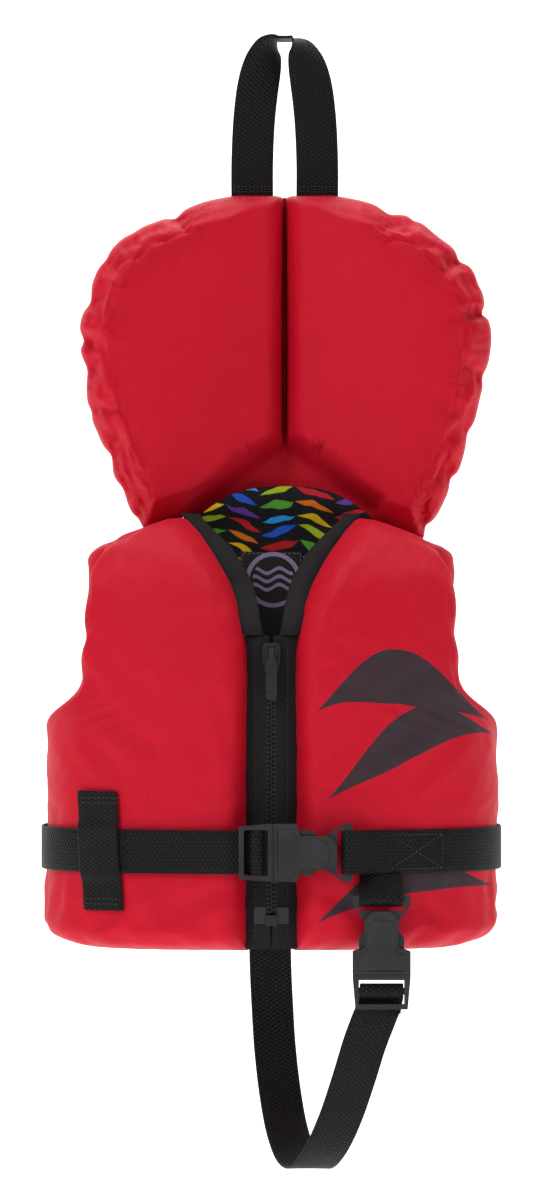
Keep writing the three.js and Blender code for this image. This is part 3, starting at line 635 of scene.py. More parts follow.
def wave_print(tree):
    """Mask of the printed waves on the wearer's left front: three swept bands and a thin arc."""
    x, _, z = split_point(tree, (-2, 5), object_place(tree))
    total = None
    for row, (middle, slope, bow, thick, low, high, phase) in enumerate(WAVE_BANDS):
        y = 5 + row * 3
        along = calc(tree, (-1, y), "MULTIPLY_ADD", x, 1 / HALF_WAVE, -phase)
        swing = calc(tree, (0, y), "SINE", calc(tree, (0, y + 1), "MULTIPLY", along, math.pi))
        line = calc(tree, (1, y), "MULTIPLY_ADD", swing, bow, middle)
        line = calc(tree, (1, y + 1), "MULTIPLY_ADD", x, slope, line)
        off = calc(tree, (2, y), "ABSOLUTE", calc(tree, (2, y + 1), "SUBTRACT", z, line))
        left, right = (
            map_range(tree, (place, y + 2), x, start, end, interpolation_type="SMOOTHSTEP")
            for place, start, end in ((2, low, low + 0.05), (3, high, high - 0.055))
        )
        taper = calc(tree, (4, y + 2), "MULTIPLY", left, right)
        room = calc(tree, (5, y + 1), "MULTIPLY_ADD", taper, thick, -PRINT_EDGE)
        inside = calc(tree, (6, y), "SUBTRACT", room, off)
        sharp = map_range(tree, (7, y), inside, 0, PRINT_EDGE)
        total = sharp if total is None else calc(tree, (8, y), "MAXIMUM", total, sharp)
    return total


# The stripes' colours, as linear RGB.
STRIPE_COLOURS = (
    (0.02, 0.10, 0.62),
    (0.03, 0.36, 0.85),
    (0.09, 0.38, 0.04),
    (0.42, 0.55, 0.02),
    (0.80, 0.52, 0.01),
    (0.72, 0.17, 0.01),
    (0.55, 0.015, 0.02),
    (0.15, 0.05, 0.38),
)
STRIPE_LONG = 0.0215
STRIPE_APART = 0.0079


def striped_lining(name, groups):
    """Black lining cloth printed with short, tapered, slanting stripes in many colours."""
    made, tree, shader = new_material(name)
    bend = grain_texture(tree, (-8, 0), object_place(tree), 42)
    shift = node(tree, "MixRGB", (-7, 0), blend_type="ADD")
    shift.inputs[0].default_value = 0.012
    tree.links.new(object_place(tree), shift.inputs[1])
    tree.links.new(bend.outputs["Color"], shift.inputs[2])
    x, _, z = split_point(tree, (-6, 0), shift.outputs[0])
    columns = calc(tree, (-5, 0), "DIVIDE", x, STRIPE_LONG)
    column = calc(tree, (-4, 0), "FLOOR", columns)
    across = calc(tree, (-4, 1), "FRACT", columns)
    odd = calc(tree, (-5, 2), "FLOORED_MODULO", column, 2.0)
    slant = calc(tree, (-4, 2), "MULTIPLY", odd, 1.7)
    lean = calc(tree, (-3, 3), "SUBTRACT", slant, 0.6)
    lean = calc(tree, (-3, 2), "MULTIPLY", lean, across)
    rise = calc(tree, (-3, 1), "DIVIDE", z, STRIPE_APART)
    offset = calc(tree, (-2, 1), "MULTIPLY_ADD", column, 0.37, rise)
    value = calc(tree, (-2, 2), "ADD", offset, lean)
    off = calc(tree, (-1, 1), "SUBTRACT", calc(tree, (-1, 2), "FRACT", value), 0.5)
    off = calc(tree, (0, 1), "ABSOLUTE", off)
    lens = calc(tree, (-1, 0), "MULTIPLY_ADD", across, 2.0, -1.0)
    lens = calc(tree, (0, 2), "POWER", calc(tree, (-1, 4), "ABSOLUTE", lens), 1.6)
    lens = calc(tree, (0, 0), "SUBTRACT", 1.0, lens)
    room = calc(tree, (1, 0), "MULTIPLY", lens, 0.31)
    inside = calc(tree, (1, 1), "SUBTRACT", room, off)
    mask = map_range(tree, (2, 0), inside, 0, 0.05)
    number = calc(tree, (0, 4), "FLOOR", value)
    turn = calc(tree, (0, 5), "MULTIPLY", column, 0.29)
    turn = calc(tree, (1, 4), "MULTIPLY_ADD", number, 0.131, turn)
    ramp = node(tree, "ValToRGB", (2, 4))
    ramp.color_ramp.interpolation = "CONSTANT"
    while len(ramp.color_ramp.elements) < len(STRIPE_COLOURS):
        ramp.color_ramp.elements.new(0.5)
    for index, colour in enumerate(STRIPE_COLOURS):
        ramp.color_ramp.elements[index].position = index / len(STRIPE_COLOURS)
        ramp.color_ramp.elements[index].color = (*colour, 1)
    tree.links.new(calc(tree, (1, 5), "FRACT", turn), ramp.inputs[0])
    weave = placed_group(tree, groups["weave"], (1, 6), cloth_place(tree), Thread=0.0009, Slub=0.4)
    # Painted thread shade on the black ground, darker in the hollows between threads.
    black = blend_colour(
        tree, (3, 6), weave.outputs["Shade"], (0.004, 0.004, 0.005), (0.016, 0.016, 0.02)
    )
    cloth = blend_colour(tree, (4, 0), mask, black, ramp.outputs[0])
    rough = calc(tree, (4, 2), "MULTIPLY_ADD", mask, -0.08, 0.68)
    surface(tree, shader, cloth, rough, 0.15)
    set_bump(tree, shader, weave.outputs["Height"], 0.00012, 0.5, (4, 4))
    return made


def webbing_cloth(name, groups, colour):
    """Ribbed polyester webbing, with painted highlights on the float tops and painted shade between them.
    """
    made, tree, shader = new_material(name)
    weave = placed_group(tree, groups["webbing"], (-2, 0), cloth_place(tree))
    wear = placed_group(
        tree, groups["wear"], (-2, 2), object_place(tree), Patch_scale=30, Speck_scale=900
    )
    # dark and light are the painted shade and the painted highlight of the weave.
    dark = tuple(c * 0.35 for c in colour)
    light = tuple(c * 3.4 for c in colour)
    cloth = blend_colour(tree, (-1, 0), weave.outputs["Shade"], dark, light)
    rough = calc(tree, (0, 2), "MULTIPLY_ADD", wear.outputs["Patches"], 0.12, 0.5)
    surface(tree, shader, cloth, rough, 0.14)
    set_bump(tree, shader, weave.outputs["Height"], 0.00045, 0.9)
    return made


def black_cloth(name, groups, colour):
    """Matt black tape and facing cloth, its tone painted lighter on the raised threads and darker in
    their hollows.
    """
    made, tree, shader = new_material(name)
    weave = placed_group(tree, groups["weave"], (-2, 0), cloth_place(tree), Thread=0.0012, Slub=0.5)
    # Painted thread shade and highlight, following the weave's height.
    dark = tuple(c * 0.6 for c in colour)
    light = tuple(c * 2.6 for c in colour)
    cloth = blend_colour(tree, (-1, 0), weave.outputs["Shade"], dark, light)
    rough = calc(tree, (0, 2), "MULTIPLY_ADD", weave.outputs["Shade"], 0.15, 0.66)
    surface(tree, shader, cloth, rough, 0.16)
    set_bump(tree, shader, weave.outputs["Height"], 0.0002, 0.7)
    return made


def moulded_plastic(name, groups, colour, smoothest=0.34):
    """Black moulded acetal: fine spark-eroded grain, rubbed smoother in patches."""
    made, tree, shader = new_material(name)
    wear = placed_group(
        tree, groups["wear"], (-2, 0), object_place(tree), Patch_scale=60, Speck_scale=2600
    )
    light = tuple(min(1, c * 1.9) for c in colour)
    shade = blend_colour(tree, (-1, 0), wear.outputs["Patches"], colour, light)
    rough = calc(tree, (0, 1), "MULTIPLY_ADD", wear.outputs["Patches"], 0.12, smoothest)
    surface(tree, shader, shade, rough, 0.45)
    set_bump(tree, shader, wear.outputs["Specks"], 0.00004, 0.35)
    return made


def thread_finish(name, colour):
    """Twisted sewing thread."""
    made, tree, shader = new_material(name)
    grain = grain_texture(tree, (-2, 0), object_place(tree), 3000).outputs[0]
    shade = blend_colour(tree, (-1, 0), grain, tuple(c * 0.6 for c in colour), colour)
    surface(tree, shader, shade, calc(tree, (-1, 2), "MULTIPLY_ADD", grain, 0.2, 0.4))
    return made


# Middle of the label's ring, in millimetres.
PATCH_X = 1.0
PATCH_Z = -29.0


def patch_cloth(name, groups):
    """Label cloth: a plain lavender ring with waves across it, on black."""
    made, tree, shader = new_material(name)
    x, _, z = split_point(tree, (-5, 0), object_place(tree))
    x = calc(tree, (-4, 0), "ADD", x, -PATCH_X * MM)
    z = calc(tree, (-4, 1), "ADD", z, -PATCH_Z * MM)
    across = calc(tree, (-3, 0), "MULTIPLY", x, x)
    up = calc(tree, (-3, 1), "MULTIPLY", z, z)
    squares = calc(tree, (-2, 0), "ADD", across, up)
    off = calc(tree, (-1, 0), "SUBTRACT", calc(tree, (-2, 2), "SQRT", squares), 0.0155)
    marks = calc(tree, (1, 0), "LESS_THAN", calc(tree, (0, 0), "ABSOLUTE", off), 0.0013)
    disc = calc(tree, (1, 1), "LESS_THAN", squares, 0.0125**2)
    swing = calc(tree, (-1, 3), "SINE", calc(tree, (-2, 3), "MULTIPLY", x, 420.0))
    for row, level in enumerate((-0.0045, 0.0005, 0.0055)):
        height = calc(tree, (0, 3 + row), "MULTIPLY_ADD", swing, 0.0016, level)
        near = calc(tree, (1, 4 + row), "SUBTRACT", z, height)
        near = calc(tree, (1, 3 + row), "ABSOLUTE", near)
        wave = calc(tree, (2, 4 + row), "LESS_THAN", near, 0.0011)
        wave = calc(tree, (2, 3 + row), "MULTIPLY", wave, disc)
        marks = calc(tree, (3, 3 + row), "MAXIMUM", marks, wave)
    weave = placed_group(tree, groups["weave"], (1, 7), cloth_place(tree), Thread=0.0008, Slub=0.4)
    shade = weave.outputs["Shade"]
    # Painted thread shade on the black and the lilac cloth alike.
    black = blend_colour(tree, (3, 7), shade, (0.003, 0.003, 0.004), (0.012, 0.012, 0.014))
    lilac = blend_colour(tree, (3, 8), shade, (0.24, 0.17, 0.34), (0.44, 0.34, 0.56))
    rough = calc(tree, (4, 3), "MULTIPLY_ADD", shade, 0.15, 0.6)
    surface(tree, shader, blend_colour(tree, (4, 0), marks, black, lilac), rough)
    set_bump(tree, shader, weave.outputs["Height"], 0.0001, 0.5, (4, 5))
    return made


# ---------------------------------------------------------------- vest
def front_pad(side, rows=58, columns=40):
    """Outer and inner grids of a front panel, from the hem up and back over the shoulder."""
    u = dense_ends(columns)[None, :]
    turn = 44.0  # height over which the pad rounds back to the shoulder
    up, over, back = rows * 2 // 3, rows // 6, rows - rows * 2 // 3 - rows // 6
    top_x = mix(NECK_X, ARM_X, u)
    top = shoulder_top(top_x)
    hem = hem_line(u)
    v = mix(np.linspace(0, 1, up), np.linspace(0, 1, up) ** 1.6, 0.6)[:, None]
    low_z = mix(hem, top - turn, v)
    phi = np.linspace(0, math.pi / 2, over + 1)[1:, None]
    high_z = top - turn + (turn + 1.5) * np.sin(phi) ** 0.85
    thick = FRONT_THICK * (1 - 0.12 * smooth(top - 2.2 * turn, top - turn, low_z))

    def across(z, out):
        edge = angle_at(front_edge(z) + 0.4, out)
        outer = mix(angle_at(ARM_X, out), SEAM_ANGLE - 0.004, under_arm(z))
        return side * mix(edge, outer, u)

    full_low = torso(across(low_z, RIM), low_z, RIM + thick)
    inner_low = torso(across(low_z, RIM), low_z, RIM + 0 * low_z)
    top_thick = FRONT_THICK * 0.88
    full_high = torso(across(high_z - 1.5, RIM), high_z, RIM + top_thick * np.cos(phi) ** 0.8)
    inner_z = mix(top - turn, top - 5, (phi / (math.pi / 2)))
    inner_high = torso(across(inner_z, RIM), inner_z, RIM + 0 * inner_z)
    k = np.linspace(0, 1, back + 1)[1:, None]
    start, inside = full_high[-1:], inner_high[-1:]
    end_y = 41.0
    full_back = np.concatenate(
        [
            mix(start[..., :1], side * top_x[..., None], k[..., None]),
            mix(start[..., 1:2], end_y, k[..., None]),
            (top + 1.5 * np.cos(k * math.pi / 2))[..., None],
        ],
        -1,
    )
    inner_back = full_back.copy()
    inner_back[..., 2] = top - 5
    full = np.concatenate([full_low, full_high, full_back])
    inner = np.concatenate([inner_low, inner_high, inner_back])
    run, rise = run_along(full, 1), run_along(full, 0)
    from_zip, from_arm = run, run[:, -1:] - run
    depth = np.linalg.norm(full - inner, axis=-1)
    edge = rounding(from_zip, 13) * rounding(from_arm, 20) * rounding(rise, 16)
    edge *= rounding(rise[-1:] - rise, 4)
    return full, inner, edge, depth, from_zip, from_arm, rise


def back_pad(rows=50, columns=66):
    """Outer and inner grids of the back panel."""
    share = np.linspace(-1, 1, columns)
    share = np.sign(share) * (1 - (1 - np.abs(share)) ** 1.15)
    u = np.abs(share)[None, :]
    at_top = HALF_WIDTH * np.sin(u * angle_at(ARM_X, 0)) ** SECTION_SHARE
    top = shoulder_top(at_top)
    hem = hem_line(u)
    z = mix(hem, top, dense_ends(rows, 0.7)[:, None])

    def across(out):
        outer = mix(math.pi - angle_at(ARM_X, out), SEAM_ANGLE + 0.004, under_arm(z))
        return np.where(share < 0, -1, 1)[None, :] * mix(math.pi, outer, u)

    full = torso(across(RIM), z, RIM + BACK_THICK + 0 * z)
    inner = torso(across(RIM), z, RIM + 0 * z)
    run = run_along(full, 1)
    rise = z - hem
    edge = rounding(run, 20) * rounding(run[:, -1:] - run, 20)
    edge = edge * rounding(rise, 16) * rounding(top - z, 12)
    return full, inner, edge, run, rise


def pressed(points):
    """How firmly the waist belt and the keeper press on the cloth, from 0 to 1."""
    x, y, z = points[..., 0], points[..., 1], points[..., 2]
    belt = 1 - smooth(WEB / 2 + 1, WEB / 2 + 13, np.abs(z - BELT_Z))
    strip = (1 - smooth(13, 22, np.abs(x - KEEPER_X))) * (1 - smooth(36, 44, np.abs(z - BELT_Z)))
    return np.maximum(belt, strip * (y < 0))


def swollen(full, inner, edge, push, depth, firm):
    """A pad's outer grid: full, eased at its edges, pushed in or out and pressed where firm."""
    push = np.where(push > -0.8, mix(push, np.minimum(push, -0.8), firm), push)
    share = edge + push / np.maximum(depth, 3) * np.minimum(1, edge * 1.4)
    return inner + (full - inner) * share[..., None]


def seam_puckers(along, distance, seed, depth, reach, wave):
    """Gathers beside a seam, as displacement in millimetres. They die out over reach."""
    flat = strung(along)
    wander = ripple(flat, 30, seed) * 5
    ridge = np.sin(2 * math.pi * (along + wander) / wave)
    strength = 0.5 + 0.5 * ripple(flat, 22, seed + 3)
    near = np.clip(distance / 2.5, 0, 1) * np.exp(-np.maximum(0, distance - 2.5) / reach * 1.6)
    return depth * ridge * strength * near


def relief(points, seed, broad, fine):
    """Soft unevenness of cloth over foam, in millimetres."""
    return broad * ripple(points, 62, seed) + fine * ripple(points, 19, seed + 7)


def fold_line(points, start, end, deep, wide):
    """A soft crease between two places given as distance from the centre line and height."""
    spot = np.stack([np.abs(points[..., 0]), points[..., 2]], -1) - np.array(start, float)
    way = np.array(end, float) - np.array(start, float)
    share = np.clip((spot * way).sum(-1) / (way * way).sum(), 0, 1)
    off = np.linalg.norm(spot - share[..., None] * way, axis=-1)
    fade = np.sin(math.pi * np.clip(share * 0.9 + 0.08, 0, 1))
    valley = np.exp(-((off / wide) ** 2)) * 2
    bank = 1.3 * np.exp(-(((off - 2.2 * wide) / wide) ** 2))
    return deep * fade * (bank - valley)


# Each fold: its two ends as distance from the centre line and height, its depth and its width.
PANEL_FOLDS = (
    ((104, -104), (62, -132), 1.5, 4.5),
    ((112, -116), (84, -150), 1.1, 4.0),
    ((90, -84), (66, -100), 0.9, 4.0),
    ((26, -210), (58, -222), 0.9, 4.5),
    ((104, -232), (84, -216), 0.9, 4.0),
    ((30, -96), (22, -140), 0.7, 4.0),
)


def build_fronts(finishes):
    for suffix, side in SIDES:
        full, inner, edge, depth, from_zip, from_arm, rise = front_pad(side)
        push = relief(full, 3 + side, 1.7, 0.8) - 1.0
        push += seam_puckers(rise, from_zip, 11 + side, 1.2, 16, 21)
        push += seam_puckers(rise, from_arm, 15 + side, 2.0, 26, 24)
        push += seam_puckers(from_zip, rise, 19 + side, 2.1, 20, 27)
        for start, end, deep, wide in PANEL_FOLDS:
            push += fold_line(full, start, end, deep * (1 if side < 0 else 0.8), wide)
        firm = pressed(full)
        outer = swollen(full, inner, edge, push, depth, firm)
        finish = finishes["printed_shell" if side > 0 else "shell"]
        pad = closed_pad("vest_front_" + suffix, outer, inner, finish, flip=side < 0)
        rows, columns = outer.shape[:2]
        hold = np.full(len(pad.data.vertices), 1.0)
        loose = 0.72 * smooth(0, 14, from_zip) * smooth(0, 10, from_arm) * smooth(0, 8, rise)
        loose = loose * (1 - firm) * (1 - 0.6 * smooth(30, 60, np.minimum(from_arm, rise)))
        hold[: rows * columns] = 1 - loose.ravel()
        settle(pad, hold, frames=12, pressure=1.2, spare=0.035, limit=4)
        subdivide(pad)
        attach(pad, "root")
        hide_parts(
            "front_shell_" + suffix, "front_foam_outer_" + suffix,
            "front_foam_inner_" + suffix, "shoulder_" + suffix,
        )


def build_back(finishes):
    full, inner, edge, run, rise = back_pad()
    push = relief(full, 8, 1.2, 0.5) - 0.6
    push += seam_puckers(rise, run, 31, 1.3, 22, 26)
    push += seam_puckers(rise, run[:, -1:] - run, 35, 1.3, 22, 26)
    push += seam_puckers(run, rise + 0 * run, 39, 1.5, 18, 24)
    firm = pressed(full)
    outer = swollen(full, inner, edge, push, BACK_THICK, firm)
    pad = closed_pad("vest_back", outer, inner, finishes["shell"], flip=True)
    rows, columns = outer.shape[:2]
    hold = np.full(len(pad.data.vertices), 1.0)
    middle = np.minimum(np.minimum(run, run[:, -1:] - run), rise + 0 * run)
    hold[: rows * columns] = 1 - (0.6 * smooth(0, 12, middle) * (1 - firm)).ravel()
    settle(pad, hold, frames=10, pressure=1.0, spare=0.03, limit=4)
    subdivide(pad)
    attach(pad, "root")
    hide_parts("back_shell", "back_foam_outer", "back_foam_inner")


# ---------------------------------------------------------------- linings, facings and label
def thin_sheet(name, outer, thickness, finish, flip):
    """A thin closed sheet from a grid of points, thickened against its normals."""
    rows, columns = outer.shape[:2]
    normal = np.cross(np.gradient(outer, axis=1), np.gradient(outer, axis=0))
    normal /= np.maximum(np.linalg.norm(normal, axis=-1, keepdims=True), 1e-9)
    if flip:
        normal = -normal
    far = outer - normal * thickness
    count = rows * columns
    vertices = np.concatenate([outer.reshape(-1, 3), far.reshape(-1, 3)])
    uvs = np.tile(path_uv(outer).reshape(-1, 2), (2, 1))
    faces = grid_faces(rows, columns, lambda i, j: i * columns + j, flip)
    faces += grid_faces(rows, columns, lambda i, j: count + i * columns + j, not flip)
    ring = list(range(columns)) + [i * columns + columns - 1 for i in range(1, rows)]
    ring += [(rows - 1) * columns + j for j in range(columns - 2, -1, -1)]
    ring += [i * columns for i in range(rows - 2, 0, -1)]
    for a, b in zip(ring, ring[1:] + ring[:1]):
        face = (b, a, a + count, b + count)
        faces.append(face[::-1] if flip else face)
    return piece(name, vertices, faces, uvs, finish)


def build_linings(finishes):
    for suffix, side in SIDES:
        u = np.linspace(0, 1, 24)[None, :]
        top_x = mix(NECK_X, ARM_X, u)
        top = shoulder_top(top_x)
        z = mix(hem_line(u, 1), top - 5.4, np.linspace(0, 1, 34)[:, None])
        edge = angle_at(front_edge(z) + 0.8, 0)
        outer = mix(angle_at(ARM_X, 0), SEAM_ANGLE - 0.005, under_arm(z))
        rise = torso(side * mix(edge, outer, u), z, LINING - 0.1 + 0 * z)
        k = np.linspace(0, 1, 8)[1:, None]
        over = np.concatenate(
            [
                np.broadcast_to(side * top_x[..., None], (7, 24, 1)),
                mix(rise[-1:, :, 1:2], 40.0, k[..., None]),
                np.broadcast_to((top - 5.4)[..., None], (7, 24, 1)),
            ],
            -1,
        )
        points = np.concatenate([rise, over])
        made = thin_sheet("vest_lining_" + suffix, points, SHEET, finishes["lining"], flip=side < 0)
        subdivide(made)
        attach(made, "root")
        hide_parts("front_lining_" + suffix)
    share = np.linspace(-1, 1, 49)[None, :]
    u = np.abs(share)
    top = shoulder_top(HALF_WIDTH * np.sin(u * angle_at(ARM_X, 0)) ** SECTION_SHARE)
    z = mix(hem_line(u, 1), top, np.linspace(0, 1, 44)[:, None])
    outer = mix(math.pi - angle_at(ARM_X, 0), SEAM_ANGLE + 0.005, under_arm(z))
    angle = np.where(share < 0, -1, 1) * mix(math.pi, outer, u)
    flat = torso(angle, z, LINING - 0.1 + 0 * z)
    slack = 0.9 * (0.5 + 0.5 * ripple(flat, 30, 4)) * smooth(0, 0.12, 1 - u) * smooth(-248, -235, z)
    points = torso(angle, z, LINING - 0.1 - slack * (z > -90))
    made = thin_sheet("vest_lining_back", points, SHEET, finishes["lining"], flip=True)
    subdivide(made)
    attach(made, "root")
    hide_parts("back_lining")


def build_neck_web(finishes):
    """Striped cloth from the back lining's top edge up to the collar's web, behind the neck."""
    u = np.linspace(-1, 1, 41)[None, :]
    v = np.linspace(0, 1, 14)[:, None]
    x = COLLAR_X * v + u * mix(60, 54, v)
    z = 3 + v * (24.5 * (1 - 0.85 * np.abs(u) ** 2.6))
    base_y = torso(math.pi - angle_at(np.clip(x, -90, 90), 0), np.minimum(z, NECK_Z), 0.2)[..., 1]
    front_y = mix(base_y, COLLAR_Y - 17 - np.abs(x - COLLAR_X) * COLLAR_TAN, smooth(0.0, 0.75, v + 0 * u))
    y = front_y - 0.6 * ripple(np.stack([x, z, z], -1), 14, 9)
    points = np.stack([x, y, z], -1)
    made = thin_sheet("neck_lining_web", points, SHEET, finishes["lining"], flip=True)
    subdivide(made)
    return made


def build_facings(finishes):
    """Black facings from the shoulders down each neck edge to the zip tapes."""
    for suffix, side in SIDES:
        z = np.linspace(-62, NECK_Z + 1.5, 40)[:, None]
        u = np.linspace(0, 1, 9)[None, :]
        wide = mix(9.0, 12.5, smooth(-60, -25, z)) - 5 * smooth(-14, 9, z)
        x = front_edge(np.minimum(z, NECK_Z)) + 3.5 - (wide + 3.5) * u
        fold = 2.6 * np.sin(math.pi * u) + 0.8 * ripple(spread(x * side, z), 11, 21)
        out = 13 * (1 - smooth(-62, -30, z)) + 1.8 + fold
        points = torso(side * angle_at(x, 0), np.minimum(z, NECK_Z + 1.5), out)
        made = thin_sheet(
            "neck_facing_cloth_" + suffix, points, 0.7, finishes["facing"], flip=side > 0
        )
        subdivide(made)
        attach(made, "root")
        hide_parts("neck_facing_" + suffix)


def sewn_path(corners, pitch, share, radius, spot):
    """Stitches along a path of (x, z) corners, each put on its cloth by spot(x, z)."""
    places = []
    for (x0, z0), (x1, z1) in zip(corners, corners[1:]):
        count = int(math.hypot(x1 - x0, z1 - z0) / pitch)
        step = np.array([x1 - x0, 0, z1 - z0]) / count * share
        for i in range(count):
            t = (i + 0.5) / count
            places.append((spot(mix(x0, x1, t), mix(z0, z1, t)), step, radius))
    return places


def build_label(finishes):
    x = np.linspace(-19, 19, 21)[None, :]
    z = np.linspace(-68, -12, 29)[:, None]
    fold = 0.35 * ripple(spread(x, z), 16, 5)
    points = torso(math.pi - angle_at(x, 0), z + 0 * x, -1.5 + fold)
    made = thin_sheet("inner_label_patch", points, 0.4, finishes["patch"], flip=True)
    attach(made, "root")
    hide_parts("inner_label")
    rim = [(-18, -67), (18, -67), (18, -13), (-18, -13), (-18, -67)]
    places = sewn_path(
        rim, 2.6, 0.3, 0.18, lambda at_x, at_z: torso(math.pi - angle_at(at_x, 0), at_z, -2.0)
    )
    stitches = beads("inner_label_stitches", places, finishes["lilac_thread"])
    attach(stitches, "root")


# ---------------------------------------------------------------- collar
def collar_half(z):
    above = np.maximum(0, z - COLLAR_WIDE_Z) / COLLAR_ARCH
    below = np.maximum(0, COLLAR_WIDE_Z - z) / COLLAR_WIDE_Z
    taper = (COLLAR_HALF - COLLAR_BASE_HALF) * below**1.7
    return (COLLAR_HALF - taper) * np.sqrt(np.maximum(0, 1 - above**2.6))


def lobe_outline(side, count=300):
    """A lobe's outline as (across, height) points, evenly spaced, with its corners eased."""
    foot = np.linspace(1.2, COLLAR_BASE_HALF, 40)
    low = shoulder_top(COLLAR_X + side * foot) + 1.4
    z = np.linspace(low[-1], COLLAR_TOP, 160)
    outer = np.stack([collar_half(np.maximum(z, 0)), z], -1)
    foot_line = np.stack([foot, low], -1)
    top = np.stack([np.linspace(outer[-1, 0], 0.4, 20), np.full(20, COLLAR_TOP)], -1)
    down = np.stack([np.full(60, 0.4), np.linspace(COLLAR_TOP, low[0], 60)], -1)
    line = np.concatenate([foot_line, outer[1:], top[1:], down[1:]])
    run = np.concatenate([[0], np.cumsum(np.linalg.norm(np.diff(line, axis=0), axis=1))])
    even = np.linspace(0, run[-1], count, endpoint=False)
    line = np.stack([np.interp(even, run, line[:, k]) for k in (0, 1)], -1)
    spacing = run[-1] / count
    reach = int(7 / spacing)
    window = np.hanning(2 * reach + 3)[1:-1]
    window /= window.sum()
    eased = sum(w * np.roll(line, k - reach, 0) for k, w in enumerate(window))
    return eased, even


def lobe_gathers(run, total, side):
    """Pulled-in places along a lobe's outer edge: position, depth, width and slant."""
    chance = np.random.default_rng(40 + side)
    places, at = [], 92.0
    while at < total - 245:
        deep, wide = chance.uniform(1.2, 3.8), chance.uniform(3.0, 7.5)
        places.append((at, deep, wide, chance.uniform(-0.5, 0.5)))
        at += chance.uniform(14, 40)
    return places


def build_crease(finishes):
    """The strip of shell cloth that joins the two lobes, deep between them."""
    z = np.linspace(3, COLLAR_TOP - 1, 60)[:, None]
    x = np.linspace(-7, 7, 9)[None, :]
    y = COLLAR_Y - 1.2 + 0.06 * x * x + 0.4 * ripple(spread(x, z), 13, 77)
    points = np.stack([COLLAR_X + x + 0 * z, y, z + 0 * x], -1)
    strip = thin_sheet("collar_crease", points, SHEET, finishes["shell"], flip=False)
    subdivide(strip)
    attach(strip, "collar")


